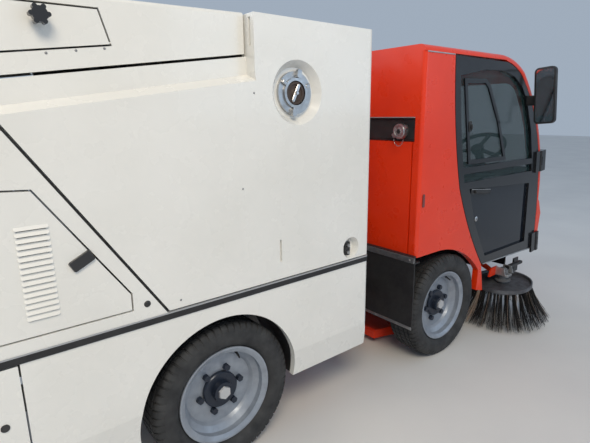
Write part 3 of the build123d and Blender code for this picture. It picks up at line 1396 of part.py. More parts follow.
duct_bottom = 330.0
hood_rear_x = ahead(1305)
hood_front_x = ahead(1490)
hood_rear_half = 402.0
hood_front_half = 455.0
hood_bottom = 45.0
hood_top = 105.0
channel_rear_x = duct_x - duct_radius - 10
channel_front_x = ahead(1380)
channel_half = duct_radius + 10
channel_top = 230.0
channel_slope = 60.0
mouth_wall = 12.0
stub_radius = duct_radius - duct_wall - 0.3
stub_top = duct_bottom + 38
bracket_start = duct_member_x + cross_member / 2
bracket_end = duct_x - duct_radius + duct_wall
with BuildPart() as duct:
    with BuildSketch(Plane.XY.offset(duct_bottom)):
        with Locations((duct_x, 0)):
            Circle(duct_radius)
            Circle(duct_radius - duct_wall, mode=Mode.SUBTRACT)
    extrude(amount=belt_top - duct_bottom)
    with Locations(((bracket_start + bracket_end) / 2, 0, (rail_bottom + rail_top) / 2)):
        Box(bracket_end - bracket_start, 100, 60)
    with Locations((duct_x, 0, (rail_bottom + rail_top) / 2)):
        Cylinder(duct_radius - duct_wall, 80, mode=Mode.SUBTRACT)
save(duct.part, "suction_duct")

hood_plan = (
    (hood_rear_x, -hood_rear_half),
    (hood_front_x, -hood_front_half),
    (hood_front_x, hood_front_half),
    (hood_rear_x, hood_rear_half),
)
channel_section = (
    (channel_rear_x, hood_top),
    (channel_rear_x, channel_top),
    (channel_front_x - channel_slope, channel_top),
    (channel_front_x, channel_top - channel_slope),
    (channel_front_x, hood_top - mouth_wall / 2),
    (hood_rear_x + mouth_wall / 2, hood_top - mouth_wall / 2),
    (hood_rear_x + mouth_wall / 2, hood_top),
)
with BuildPart() as mouth:
    with BuildSketch(Plane.XY.offset(hood_bottom)):
        Polygon(*hood_plan, align=None)
    extrude(amount=hood_top - hood_bottom)
    chamfer(mouth.edges().group_by(Axis.Z)[-1].sort_by(Axis.X)[0], mouth_wall)
    with BuildSketch(side_plane(-channel_half)):
        Polygon(*channel_section, align=None)
    extrude(amount=2 * channel_half)
    with BuildSketch(Plane.XY.offset(hood_bottom)):
        Polygon(*hood_plan, align=None)
        offset(amount=-mouth_wall, kind=Kind.INTERSECTION, mode=Mode.REPLACE)
    extrude(amount=hood_top - hood_bottom - mouth_wall, mode=Mode.SUBTRACT)
    with BuildSketch(side_plane(-(channel_half - mouth_wall))):
        Polygon((channel_rear_x + mouth_wall, hood_top - 2 * mouth_wall),
                (channel_rear_x + mouth_wall, channel_top - mouth_wall),
                (channel_front_x - channel_slope - mouth_wall / 2, channel_top - mouth_wall),
                (channel_front_x - mouth_wall, channel_top - channel_slope - mouth_wall / 2),
                (channel_front_x - mouth_wall, hood_top - 2 * mouth_wall), align=None)
    extrude(amount=2 * (channel_half - mouth_wall), mode=Mode.SUBTRACT)
    with BuildSketch(Plane.XY.offset(channel_top - mouth_wall / 2)):
        with Locations((duct_x, 0)):
            Circle(stub_radius)
    extrude(amount=stub_top - channel_top + mouth_wall / 2)
    with BuildSketch(Plane.XY.offset(channel_top - 2 * mouth_wall)):
        with Locations((duct_x, 0)):
            Circle(stub_radius - duct_wall)
    extrude(amount=stub_top, mode=Mode.SUBTRACT)
save(mouth.part, "suction_mouth")

canister_x = ahead(1010)
canister_radius = 60.0
with BuildPart() as canister:
    with Locations((canister_x, -(rail_outer_y + 2 + canister_radius), 440)):
        Cylinder(canister_radius, 150)
    with Locations((canister_x, -(rail_outer_y + 6), 440)):
        Box(40, 12, 40)
save(canister.part, "filter_canister")
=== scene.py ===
import json
import random
from math import cos, exp, pi, radians, sin

import bmesh
import bpy
from mathutils import Matrix, Vector


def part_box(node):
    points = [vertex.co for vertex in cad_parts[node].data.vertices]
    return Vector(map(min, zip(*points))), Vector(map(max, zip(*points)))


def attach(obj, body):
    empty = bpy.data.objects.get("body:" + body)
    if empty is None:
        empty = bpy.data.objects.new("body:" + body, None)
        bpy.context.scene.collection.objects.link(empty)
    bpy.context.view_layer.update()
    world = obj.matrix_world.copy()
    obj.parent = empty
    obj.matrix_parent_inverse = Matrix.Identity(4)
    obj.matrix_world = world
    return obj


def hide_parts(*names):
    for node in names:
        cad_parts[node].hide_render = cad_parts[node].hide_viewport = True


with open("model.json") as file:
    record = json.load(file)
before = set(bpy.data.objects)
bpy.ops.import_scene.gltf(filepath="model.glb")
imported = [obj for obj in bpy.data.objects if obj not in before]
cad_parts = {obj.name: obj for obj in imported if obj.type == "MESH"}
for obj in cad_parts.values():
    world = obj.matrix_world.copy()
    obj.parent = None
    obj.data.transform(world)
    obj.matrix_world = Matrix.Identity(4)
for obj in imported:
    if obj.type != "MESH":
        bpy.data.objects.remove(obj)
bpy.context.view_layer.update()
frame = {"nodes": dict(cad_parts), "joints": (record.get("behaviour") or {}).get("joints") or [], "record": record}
nodes = frame["nodes"]

# Camera: place and directions worked out from the photograph's vanishing points, metres

camera_place = Vector((-1.7386, -2.285, 1.535))
camera_right = Vector((0.7801, -0.6255, -0.0121))
camera_forward = Vector((0.6067, 0.7611, -0.2294))
focal_pixels = 455.0
photo_width = 590.0
sensor_width = 36.0


def add_camera():
    data = bpy.data.cameras.new("camera")
    data.sensor_width = sensor_width
    data.lens = focal_pixels / photo_width * sensor_width
    data.clip_start = 0.05
    data.clip_end = 200.0
    camera = bpy.data.objects.new("camera", data)
    back = -camera_forward.normalized()
    right = (camera_right - camera_right.dot(back) * back).normalized()
    up = back.cross(right)
    turn = Matrix((right, up, back)).transposed()
    camera.matrix_world = Matrix.Translation(camera_place) @ turn.to_4x4()
    bpy.context.scene.collection.objects.link(camera)
    bpy.context.scene.camera = camera


# Sky, and lamps as (place, target, size, power, colour)

sky_colour = (0.70, 0.83, 1.0)
sky_strength = 0.5
lamps = {
    "key": ((-2.8, -4.4, 5.2), (-0.6, -0.5, 1.6), (2.6, 2.0), 215.0, (1.0, 0.88, 0.70)),
    "fill": ((4.5, -7.0, 3.0), (0.2, -0.3, 0.9), (5.0, 3.0), 60.0, (0.62, 0.80, 1.0)),
    "back": ((-5.0, 4.5, 5.0), (0, 0, 1.2), (4.0, 3.0), 190.0, (0.85, 0.92, 1.0)),
}


def add_lamps():
    for name, (place, target, size, power, colour) in lamps.items():
        data = bpy.data.lights.new(name, "AREA")
        data.shape = "RECTANGLE"
        data.size, data.size_y = size
        data.energy = power
        data.color = colour
        lamp = bpy.data.objects.new(name, data)
        aim = Vector(target) - Vector(place)
        turn = aim.to_track_quat("-Z", "Y").to_matrix().to_4x4()
        lamp.matrix_world = Matrix.Translation(place) @ turn
        bpy.context.scene.collection.objects.link(lamp)


def add_world():
    world = bpy.data.worlds.new("studio")
    world.use_nodes = True
    background = world.node_tree.nodes["Background"]
    background.inputs["Color"].default_value = (*sky_colour, 1.0)
    background.inputs["Strength"].default_value = sky_strength
    bpy.context.scene.world = world
    bpy.context.scene.view_settings.view_transform = "Standard"


# Places in the frame, metres

joints = {joint["name"]: joint for joint in frame["joints"]}
sides = (("right", -1), ("left", 1))
tyre_low, tyre_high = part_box("rear_tyre_right")
rear_axle_x = (tyre_low.x + tyre_high.x) / 2
body_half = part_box("skirts")[1].y
lid_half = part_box("hopper_lid")[1].y
cab_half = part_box("cab_sides")[1].y
cab_rear_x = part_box("cab_rear_wall")[0].x
belt_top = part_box("belt_trims")[1].z
forward = (1, 0, 0)
leftward = (0, 1, 0)
upward = (0, 0, 1)


def ahead(distance):
    """World X of a point given ahead of the rear axle."""
    return rear_axle_x + distance


# Materials

class Shader:
    """A material's node tree with short ways to add and join nodes."""

    def __init__(self, name):
        self.material = bpy.data.materials.new(name)
        self.material.use_nodes = True
        self.tree = self.material.node_tree
        self.main = self.tree.nodes["Principled BSDF"]
        self.spot = None

    def node(self, kind, **values):
        made = self.tree.nodes.new(kind)
        for key, value in values.items():
            if key in made.inputs:
                made.inputs[key].default_value = value
            else:
                setattr(made, key, value)
        return made

    def link(self, source, target):
        self.tree.links.new(source, target)

    def place(self):
        """Object coordinates, in metres."""
        if self.spot is None:
            self.spot = self.tree.nodes.new("ShaderNodeTexCoord").outputs["Object"]
        return self.spot

    def noise(self, scale, detail=3.0, stretch=(1, 1, 1)):
        mapping = self.node("ShaderNodeMapping", Scale=stretch)
        self.link(self.place(), mapping.inputs["Vector"])
        noise = self.node("ShaderNodeTexNoise", Scale=scale, Detail=detail)
        self.link(mapping.outputs["Vector"], noise.inputs["Vector"])
        return noise.outputs["Fac"]

    def ramp(self, value, stops):
        ramp = self.node("ShaderNodeValToRGB")
        elements = ramp.color_ramp.elements
        while len(elements) < len(stops):
            elements.new(0.5)
        for element, (position, colour) in zip(elements, stops):
            element.position = position
            element.color = (*colour, 1.0)
        self.link(value, ramp.inputs["Fac"])
        return ramp.outputs["Color"]

    def mix(self, share, first, second):
        mixer = self.node("ShaderNodeMix", data_type="RGBA")
        for socket, value in (("Factor", share), ("A", first), ("B", second)):
            target = [s for s in mixer.inputs
                      if s.name == socket and (socket == "Factor" or s.type == "RGBA")][0]
            if hasattr(value, "is_output"):
                self.link(value, target)
            elif socket == "Factor":
                target.default_value = value
            else:
                target.default_value = (*value, 1.0)
        return [s for s in mixer.outputs if s.type == "RGBA"][0]

    def range(self, value, low, high, source=(0.3, 0.7)):
        mapped = self.node("ShaderNodeMapRange")
        ends = {"From Min": source[0], "From Max": source[1], "To Min": low, "To Max": high}
        for socket, end in ends.items():
            mapped.inputs[socket].default_value = end
        self.link(value, mapped.inputs["Value"])
        return mapped.outputs["Result"]

    def compute(self, operation, first, second=0.0):
        made = self.node("ShaderNodeMath", operation=operation)
        for socket, value in zip(made.inputs, (first, second)):
            if hasattr(value, "is_output"):
                self.link(value, socket)
            else:
                socket.default_value = value
        return made.outputs[0]

    def axis(self, letter):
        """One of the object coordinates."""
        split = self.node("ShaderNodeSeparateXYZ")
        self.link(self.place(), split.inputs[0])
        return split.outputs[letter]

    def beyond(self, value, limit):
        return self.compute("GREATER_THAN", value, limit)

    def inside(self, value, low, high):
        return self.compute("MULTIPLY", self.beyond(value, low), self.compute("LESS_THAN", value, high))

    def bump(self, value, strength, distance):
        bump = self.node("ShaderNodeBump", Strength=strength, Distance=distance)
        self.link(value, bump.inputs["Height"])
        self.link(bump.outputs["Normal"], self.main.inputs["Normal"])


# Marked areas of a finish, each a share of 0 or 1 over the object's coordinates

def outside(half, first=-9.0, last=9.0):
    """What stands out from a side wall, between two places along the length."""
    def share(shader):
        out = shader.beyond(shader.compute("ABSOLUTE", shader.axis("Y")), half)
        return shader.compute("MULTIPLY", out, shader.inside(shader.axis("X"), first, last))
    return share


def hub_area(centre, radius, face):
    """What stands out from a wheel's disc within a radius of its middle."""
    def share(shader):
        across = shader.compute("SUBTRACT", shader.axis("X"), centre.x)
        up = shader.compute("SUBTRACT", shader.axis("Z"), centre.z)
        square = shader.compute("ADD", shader.compute("MULTIPLY", across, across),
                                shader.compute("MULTIPLY", up, up))
        near = shader.compute("LESS_THAN", square, radius * radius)
        out = shader.beyond(shader.compute("ABSOLUTE", shader.axis("Y")), face)
        return shader.compute("MULTIPLY", near, out)
    return share


def above(height):
    def share(shader):
        return shader.beyond(shader.axis("Z"), height)
    return share


def forward_of(place):
    def share(shader):
        return shader.beyond(shader.axis("X"), place)
    return share


roughness_spread = 0.14
coat_roughness = 0.1
grain_height = 0.0005


def finish(name, colour, shade, roughness, metallic=0.0, coat=0.0, patch=3.0, grain=(260.0, 0.05),
           marks=()):
    """Surface with faint patches and grain; marks are (share, colour, roughness) laid over it."""
    shader = Shader(name)
    tone = shader.mix(shader.range(shader.noise(patch, 4.0), 0.0, 1.0), colour, shade)
    rough = shader.range(shader.noise(3 * patch, 5.0), roughness, roughness + roughness_spread)
    for share, mark_colour, mark_roughness in marks:
        area = share(shader)
        tone = shader.mix(area, tone, mark_colour)
        change = shader.compute("SUBTRACT", mark_roughness, rough)
        rough = shader.compute("ADD", rough, shader.compute("MULTIPLY", area, change))
    shader.link(tone, shader.main.inputs["Base Color"])
    shader.link(rough, shader.main.inputs["Roughness"])
    shader.main.inputs["Metallic"].default_value = metallic
    shader.main.inputs["Coat Weight"].default_value = coat
    shader.main.inputs["Coat Roughness"].default_value = coat_roughness
    shader.bump(shader.noise(grain[0], 3.0), grain[1], grain_height)
    return shader.material


def paint(name, colour, shade, roughness, coat=0.5, marks=()):
    return finish(name, colour, shade, roughness, coat=coat, marks=marks)


def rubber(name, colour, dust, roughness):
    return finish(name, colour, dust, roughness, patch=14.0, grain=(420.0, 0.15))


def metal(name, colour, shade, roughness, metallic=1.0, marks=()):
    return finish(name, colour, shade, roughness, metallic=metallic, patch=22.0, grain=(300.0, 0.08),
                  marks=marks)


def glass(name, tint, cover, dark_below=None):
    """Thin tinted window; cover is the share of light that it holds back, more below a height."""
    shader = Shader(name)
    shader.link(shader.range(shader.noise(6.0, 3.0), 0.02, 0.06), shader.main.inputs["Roughness"])
    shader.main.inputs["Base Color"].default_value = (*tint, 1.0)
    shader.main.inputs["Alpha"].default_value = cover
    if dark_below:
        low = shader.compute("LESS_THAN", shader.axis("Z"), dark_below)
        shader.link(shader.mix(low, tint, dark_tint), shader.main.inputs["Base Color"])
        more = shader.compute("MULTIPLY", low, dark_cover - cover)
        shader.link(shader.compute("ADD", cover, more), shader.main.inputs["Alpha"])
    return shader.material


black = (0.012, 0.012, 0.014)
white_paint = ((0.82, 0.81, 0.775), (0.77, 0.76, 0.72), 0.2)
rim_paint = ((0.34, 0.38, 0.44), (0.26, 0.29, 0.34), 0.32, 0.35)
window_tint = (0.030, 0.062, 0.066)
window_cover = 0.42
door_glass_cover = 0.36
dark_tint = (0.006, 0.010, 0.018)
dark_cover = 0.93
makers = {
    "white_paint": lambda n: paint(n, *white_paint),
    "orange_paint": lambda n: paint(n, (0.84, 0.042, 0.004), (0.76, 0.034, 0.004), 0.24, 0.12),
    "rim_paint": lambda n: metal(n, *rim_paint),
    "chassis_paint": lambda n: paint(n, (0.006, 0.007, 0.010), (0.010, 0.011, 0.014), 0.14, 0.2),
    "tyre_rubber": lambda n: rubber(n, (0.016, 0.017, 0.019), (0.045, 0.046, 0.048), 0.66),
    "trim_rubber": lambda n: rubber(n, (0.010, 0.010, 0.012), (0.022, 0.022, 0.023), 0.5),
    "black_plastic": lambda n: rubber(n, (0.014, 0.014, 0.016), (0.026, 0.026, 0.027), 0.4),
    "lamp_lens": lambda n: paint(n, (0.50, 0.03, 0.015), (0.42, 0.025, 0.012), 0.1, 1.0,
                                 marks=((forward_of(0.0), (0.75, 0.77, 0.78), 0.08),)),
    "window_glass": lambda n: glass(n, window_tint, window_cover),
    "bare_steel": lambda n: metal(n, (0.58, 0.58, 0.59), (0.42, 0.41, 0.40), 0.22),
    "aluminium_cast": lambda n: metal(n, (0.56, 0.57, 0.58), (0.40, 0.40, 0.40), 0.34),
    "seat_cover": lambda n: rubber(n, (0.022, 0.023, 0.027), (0.040, 0.041, 0.046), 0.8),
    "bristle_steel": lambda n: rubber(n, (0.03, 0.028, 0.026), (0.07, 0.06, 0.055), 0.6),
    "engine_iron": lambda n: metal(n, (0.2, 0.2, 0.2), (0.12, 0.11, 0.1), 0.5, 0.6),
    "brush_steel": lambda n: metal(n, (0.16, 0.17, 0.19), (0.08, 0.08, 0.09), 0.4, 0.5),
    "bristle_dark": lambda n: rubber(n, (0.012, 0.012, 0.013), (0.028, 0.025, 0.024), 0.55),
    "bristle_pale": lambda n: rubber(n, (0.42, 0.27, 0.21), (0.50, 0.46, 0.40), 0.5),
    "plate_steel": lambda n: metal(n, (0.52, 0.53, 0.54), (0.38, 0.38, 0.38), 0.35, 0.7),
    "motor_grey": lambda n: paint(n, (0.16, 0.17, 0.18), (0.10, 0.10, 0.11), 0.35, 0.2),
    "rivet_grey": lambda n: metal(n, (0.32, 0.33, 0.35), (0.22, 0.22, 0.23), 0.4, 0.5),
    "edge_grey": lambda n: metal(n, (0.50, 0.51, 0.52), (0.40, 0.40, 0.41), 0.35, 0.6),
    "mirror_silver": lambda n: metal(n, (0.85, 0.87, 0.88), (0.80, 0.82, 0.83), 0.02),
    "marker_red": lambda n: paint(n, (0.16, 0.012, 0.008), (0.12, 0.010, 0.006), 0.2, 0.8),
    "cap_brown": lambda n: rubber(n, (0.045, 0.028, 0.020), (0.07, 0.05, 0.04), 0.5),
}
materials = {slot: make(slot + "_finish") for slot, make in makers.items()}
slot_of = {part["node"]: part["material_slot"] for part in frame["record"]["subparts"]}
finishes = {name: materials[slot] for name, slot in slot_of.items()}
finishes["filter_canister"] = paint("canister_finish", (0.016, 0.028, 0.085), (0.010, 0.018, 0.055), 0.3)

# Finishes of single nodes, with their marked areas: walls, places along the length, hub discs

knob_stand = 0.001
door_face = 0.7506
latch_start = -0.590
screw_span = (-0.830, -0.790)
lip_height = 0.0045
glass_dark_below = 1.09
# Painted shade: the hub inside the deep wheel dish is coloured dark blue-black for the shadow that falls there;
# the cap keeps its own bright colour
hub_radius = 0.128
hub_depth = 0.0705
hub_shade_colour = (0.022, 0.030, 0.048)
cap_radius = 0.032
cap_depth = 0.0248
cap_colour = (0.55, 0.56, 0.58)
lip_colour = (0.36, 0.37, 0.39)

knob_marks = ((outside(lid_half + knob_stand), black, 0.35),)
latch_marks = ((outside(door_face, ahead(latch_start)), black, 0.3),)
screw_marks = ((outside(door_face, ahead(screw_span[0]), ahead(screw_span[1])), black, 0.35),)
lip_marks = ((above(belt_top - lip_height), lip_colour, 0.4),)
finishes["belt_trims"] = finish("belt_finish", (0.010, 0.010, 0.012), (0.022, 0.022, 0.023), 0.4,
                                patch=14.0, marks=lip_marks)
for side_name, _ in sides:
    finishes["door_glass_" + side_name] = glass("door_glass_finish_" + side_name, window_tint,
                                                door_glass_cover, glass_dark_below)
    for part, marks in (("lid_flap", knob_marks), ("engine_door", latch_marks), ("lower_door", screw_marks)):
        finishes[f"{part}_{side_name}"] = paint(f"{part}_finish_{side_name}", *white_paint, marks=marks)
    for place_name in ("front", "rear"):
        node = f"{place_name}_rim_{side_name}"
        low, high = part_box(node)
        face = max(abs(low.y), abs(high.y))
        middle = (low + high) / 2
        # The first mark paints shade on the hub, the second is the cap's own colour
        hub_shade_and_cap_marks = (
            (hub_area(middle, hub_radius, face - hub_depth), hub_shade_colour, 0.3),
            (hub_area(middle, cap_radius, face - cap_depth), cap_colour, 0.18),
        )
        finishes[node] = metal(node + "_finish", *rim_paint, marks=hub_shade_and_cap_marks)
for name, node in nodes.items():
    node.data.materials.clear()
    node.data.materials.append(finishes[name])


# Mesh pieces

class Shape:
    """A mesh put together from outlines, with one finish per material slot."""

    def __init__(self, name, finish):
        self.name = name
        self.mesh = bmesh.new()
        self.finishes = [finish]
        self.slot = 0

    def use(self, finish):
        if finish not in self.finishes:
            self.finishes.append(finish)
        self.slot = self.finishes.index(finish)

    def face(self, corners):
        face = self.mesh.faces.new(corners)
        face.material_index = self.slot
        face.smooth = True

    def rows(self, rows, around=True, along=False):
        """Quads between rows of vertices; around closes the rows on themselves, along the columns."""
        for first, second in zip(rows, rows[1:] + rows[:1] if around else rows[1:]):
            count = len(first)
            for step in range(count if along else count - 1):
                corners = [first[step], first[(step + 1) % count], second[(step + 1) % count], second[step]]
                corners = [corner for index, corner in enumerate(corners) if corner not in corners[:index]]
                if len(corners) > 2:
                    self.face(corners)

    def prism(self, place, outline, depth, bevel=0.0):
        """Outline in the place's plane, raised along its normal, with a bevelled far edge."""
        levels = [(outline, 0.0), (outline, depth - bevel)]
        if bevel > 0:
            levels.append((moved_in(outline, bevel), depth))
        rings = []
        for ring, height in levels:
            rings.append([self.mesh.verts.new(place @ Vector((x, y, height))) for x, y in ring])
        self.rows(rings, around=False, along=True)
        self.face(rings[0][::-1])
        self.face(rings[-1])

    def lathe(self, place, profile, steps=32):
        """Profile of (radius, height) turned about the place's normal."""
        poles = {index: self.mesh.verts.new(place @ Vector((0, 0, height)))
                 for index, (radius, height) in enumerate(profile) if radius == 0}
        rings = []
        for step in range(steps):
            turn = 2 * pi * step / steps
            ring = []
            for index, (radius, height) in enumerate(profile):
                point = place @ Vector((radius * cos(turn), radius * sin(turn), height))
                ring.append(poles[index] if index in poles else self.mesh.verts.new(point))
            rings.append(ring)
        self.rows(rings)

    def tube(self, points, radius, sides=6, tip=1.0):
        """Round bar along the points, its end thinned to the share tip."""
        points = [Vector(point) for point in points]
        rings = []
        across = None
        for index, point in enumerate(points):
            ahead_point = points[min(index + 1, len(points) - 1)]
            way = (ahead_point - points[max(index - 1, 0)]).normalized()
            across = way.orthogonal() if across is None else across - across.dot(way) * way
            across.normalize()
            other = way.cross(across)
            size = radius * (1 + (tip - 1) * index / (len(points) - 1))
            rings.append([self.mesh.verts.new(point + size * (cos(turn) * across + sin(turn) * other))
                          for turn in (2 * pi * side / sides for side in range(sides))])
        self.rows(rings, around=False, along=True)
        self.face(rings[0][::-1])
        self.face(rings[-1])

    def done(self, body, *replaced, sharp=0.6):
        bmesh.ops.recalc_face_normals(self.mesh, faces=self.mesh.faces)
        for edge in self.mesh.edges:
            if len(edge.link_faces) == 2 and edge.calc_face_angle() > sharp:
                edge.smooth = False
        data = bpy.data.meshes.new(self.name)
        self.mesh.to_mesh(data)
        self.mesh.free()
        for finish in self.finishes:
            data.materials.append(finish)
        piece = bpy.data.objects.new(self.name, data)
        bpy.context.scene.collection.objects.link(piece)
        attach(piece, body)
        if replaced:
            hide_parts(*replaced)
        return piece


sharpest_corner = 0.4


def moved_in(outline, distance):
    """Outline with each corner moved in, so that its edges lie at the distance inside."""
    count = len(outline)
    area = sum(outline[i - 1][0] * outline[i][1] - outline[i][0] * outline[i - 1][1] for i in range(count))
    turn = 1 if area > 0 else -1
    inner = []
    for i in range(count):
        point = Vector(outline[i])
        before = (point - Vector(outline[i - 1])).normalized()
        after = (Vector(outline[(i + 1) % count]) - point).normalized()
        middle = Vector((-before.y - after.y, before.x + after.x)).normalized()
        reach = distance / max(middle.dot(Vector((-after.y, after.x))), sharpest_corner)
        inner.append(tuple(point + turn * reach * middle))
    return inner


def rounded(width, height, radius, steps=5):
    """Rectangle about the origin with round corners."""
    outline = []
    for corner in range(4):
        x = (width / 2 - radius) * (1 if corner in (0, 3) else -1)
        y = (height / 2 - radius) * (1 if corner < 2 else -1)
        for step in range(steps + 1):
            turn = pi / 2 * (corner + step / steps)
            outline.append((x + radius * cos(turn), y + radius * sin(turn)))
    return outline


def axes(origin, normal, along):
    """Place whose z is the normal and whose x is the direction along."""
    z = Vector(normal).normalized()
    x = Vector(along)
    x = (x - x.dot(z) * z).normalized()
    return Matrix.Translation(origin) @ Matrix((x, z.cross(x), z)).transposed().to_4x4()


def on_side(side, x, y, z, along=forward):
    """Place on a side wall, its normal outward."""
    return axes((ahead(x), side * y, z), (0, side, 0), along)


def add_plates(shape, side, plates):
    """Rounded plates on a side wall, from rows of (finish, ahead, y, height, direction, size, corner,
    steps of the corner, thickness, bevel)."""
    for finish, x, y, z, along, size, corner, steps, thickness, bevel in plates:
        shape.use(materials[finish])
        shape.prism(on_side(side, x, y, z, along), rounded(*size, corner, steps), thickness, bevel)


# Tyres: half section as (distance outward, radius), a pitch of the tread as (share, depth of cut)

pitch_count = 62
pitch_steps = ((0.0, 1.0), (0.17, 1.0), (0.22, 0.0), (0.45, 0.0), (0.7, 0.0), (0.95, 0.0))
groove_places = (-0.052, -0.020, 0.020, 0.052)
groove_half = 0.0036
groove_flank = 0.0006
groove_depth = 0.008
block_depth = 0.007
block_root = 0.297
block_fade = 0.012
block_least = 0.25
sipe_depth = 0.003
rib_slant = 4.0
tread_edge = 0.074
tyre_side = (
    (0.0655, 0.2045), (0.0725, 0.2235), (0.078, 0.2275), (0.0855, 0.2315), (0.0885, 0.2355),
    (0.0905, 0.2375), (0.0925, 0.2405), (0.0965, 0.2460), (0.1000, 0.2560), (0.1018, 0.2660),
    (0.1012, 0.2780), (0.0990, 0.2920), (0.0992, 0.2945), (0.0975, 0.2975), (0.0960, 0.3050),
    (0.0925, 0.3150), (0.0870, 0.3240), (0.0810, 0.3288),
)


def tyre_columns(radius):
    """Half-open section of the tyre from bead to bead as (distance outward, radius, kind)."""
    side = [(out, size, "block" if size > block_root else "wall") for out, size in tyre_side]
    tread = []
    for groove in groove_places:
        edge = groove_half + groove_flank
        tread += [(groove - edge, radius, "rib"), (groove - groove_half, radius - groove_depth, "floor"),
                  (groove + groove_half, radius - groove_depth, "floor"), (groove + edge, radius, "rib")]
    tread = [(-tread_edge, radius, "block")] + tread + [(tread_edge, radius, "block")]
    return [(-out, size, kind) for out, size, kind in side] + tread + side[::-1]


def add_tyre(place_name, side_name):
    node = f"{place_name}_tyre_{side_name}"
    low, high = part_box(node)
    centre = (low + high) / 2
    columns = tyre_columns((high.z - low.z) / 2)
    shape = Shape(node + "_tread", materials["tyre_rubber"])
    rows = []
    for pitch in range(pitch_count):
        for share, cut in pitch_steps:
            row = []
            for out, radius, kind in columns:
                slant = rib_slant * abs(out) * (kind == "rib")
                turn = 2 * pi * (pitch + share + slant) / pitch_count
                if kind == "block":
                    radius -= cut * block_depth * min(1.0, (radius - block_root) / block_fade + block_least)
                if kind == "rib":
                    radius -= cut * sipe_depth
                corner = centre + Vector((radius * cos(turn), out, radius * sin(turn)))
                row.append(shape.mesh.verts.new(corner))
            rows.append(row)
    shape.rows(rows, along=True)
    shape.done(f"{place_name}_wheel_{side_name}", node)


# Side brushes: dish, and tufts of bent filaments in rings of (count, foot radius, tip radius)

brush_seed = 11
tuft_rings = ((28, 0.188, 0.296), (20, 0.162, 0.222))
filaments = 34
filament_radius = 0.0011
filament_tip = 0.7
foot_spread = 0.007
foot_drop = 0.006
tip_spread = 0.024
tip_clearance = 0.009
tuft_lean = 0.012
reach_play = 0.008
shortest = 0.93
pale_tufts = 0.16
pale_strays = 0.05
bend_shares = (0.0, 0.3, 0.6, 0.82, 1.0)
bend_outward = 1.25
bend_aside = 1.5
bend_down = 0.95
dish = (
    (0, 0.064), (0.010, 0.064), (0.012, 0.061), (0.012, 0.024), (0.030, 0.022), (0.034, 0.005),
    (0.188, 0.005), (0.191, 0.022), (0.200, 0.022), (0.200, -0.006), (0.196, -0.010),
    (0.150, -0.010), (0.146, -0.002), (0, -0.002),
)


def brush_place(side_name):
    joint = joints["brush_spin_" + side_name]
    normal = Vector(joint["axis"])
    return axes(joint["pos_m"], normal if normal.z > 0 else -normal, leftward)


def add_brush(side_name):
    node = "side_brush_" + side_name
    place = brush_place(side_name)
    tilt = place.to_3x3().col[2].angle(Vector(upward))
    luck = random.Random(brush_seed)
    shape = Shape(node + "_tufts", materials["brush_steel"])
    shape.lathe(place, dish, steps=64)
    for count, foot, tip in tuft_rings:
        drop = place.translation.z - tip_clearance - (tip + tip_spread) * sin(tilt)
        for number in range(count):
            turn = 2 * pi * number / count
            away = Vector((cos(turn), sin(turn), 0))
            across = Vector((-sin(turn), cos(turn), 0))
            pale = luck.random() < pale_tufts
            lean = luck.uniform(-tuft_lean, tuft_lean)
            for _ in range(filaments):
                bright = pale or luck.random() < pale_strays
                shape.use(materials["bristle_pale" if bright else "bristle_dark"])
                angle = luck.uniform(0, 2 * pi)
                size = luck.random() ** 0.5
                start = away * (foot + foot_spread * size * cos(angle))
                start += across * foot_spread * size * sin(angle)
                reach = tip - foot + tip_spread * size * cos(angle) + luck.uniform(-reach_play, reach_play)
                sway = tip_spread * size * sin(angle) + lean
                end = -drop * luck.uniform(shortest, 1.0)
                points = []
                for share in bend_shares:
                    outward = away * reach * share ** bend_outward
                    aside = across * sway * share ** bend_aside
                    down = -foot_drop + (end + foot_drop) * share ** bend_down
                    points.append(place @ (start + outward + aside + Vector((0, 0, down))))
                shape.tube(points, filament_radius, sides=3, tip=filament_tip)
    shape.done(node, node)


# Brush arms: bar from the hinge to the plate, motor with its ports, cheeks, strap, link and flap

arm_width = 0.040
eye_gap = 0.004
eye_half = 0.017
bar_reach = 0.088
bar_step = 0.006
bar_above = 0.010
barrel_bore = 0.0092
barrel_radius = 0.018
barrel_bevel = 0.0015
barrel_profile = (
    (barrel_bore, 0), (barrel_radius - barrel_bevel, 0), (barrel_radius, barrel_bevel),
    (barrel_radius, arm_width - barrel_bevel), (barrel_radius - barrel_bevel, arm_width),
    (barrel_bore, arm_width), (barrel_bore, 0),
)
plate_rise = 0.066
plate_drop = 0.008
plate_shift = 0.024
plate_size = (0.074, 0.150)
plate_thickness = 0.016
motor_radius = 0.034
motor_profile = (
    (0, 0.118), (0.020, 0.118), (0.024, 0.114), (0.024, 0.108), (0.032, 0.106), (0.034, 0.103),
    (0.034, 0.078), (0.031, 0.076), (0.031, 0.070), (0.034, 0.068), (0.034, 0.036), (0.044, 0.034),
    (0.054, 0.031), (0.054, 0.023), (0.052, 0.022), (0.014, 0.022), (0.014, 0.030), (0, 0.030),
)
port_turns = (0.6, 2.4)
port_height = 0.090
port_sink = 0.004
port_profile = (
    (0, 0.022), (0.006, 0.022), (0.006, 0.016), (0.011, 0.016), (0.012, 0.014), (0.012, 0.003),
    (0.010, 0), (0, 0),
)
foot_rise = 0.006
cheeks = ((-0.062, 0.058), (0.052, 0.052))
cheek_foot = 0.046
cheek_top = 0.030
cheek_thickness = 0.007
strap_shift = (-0.075, -0.030)
strap_outline = ((-0.075, 0.004), (0.010, 0.004), (0.036, -0.058), (-0.050, -0.058))
strap_thickness = 0.012
link_shift = (0.045, 0.036)
link_size = (0.030, 0.022)
link_length = 0.215
flap_shift = (0.245, 0.050, -0.004)
flap_size = (0.012, 0.112)
flap_length = 0.070


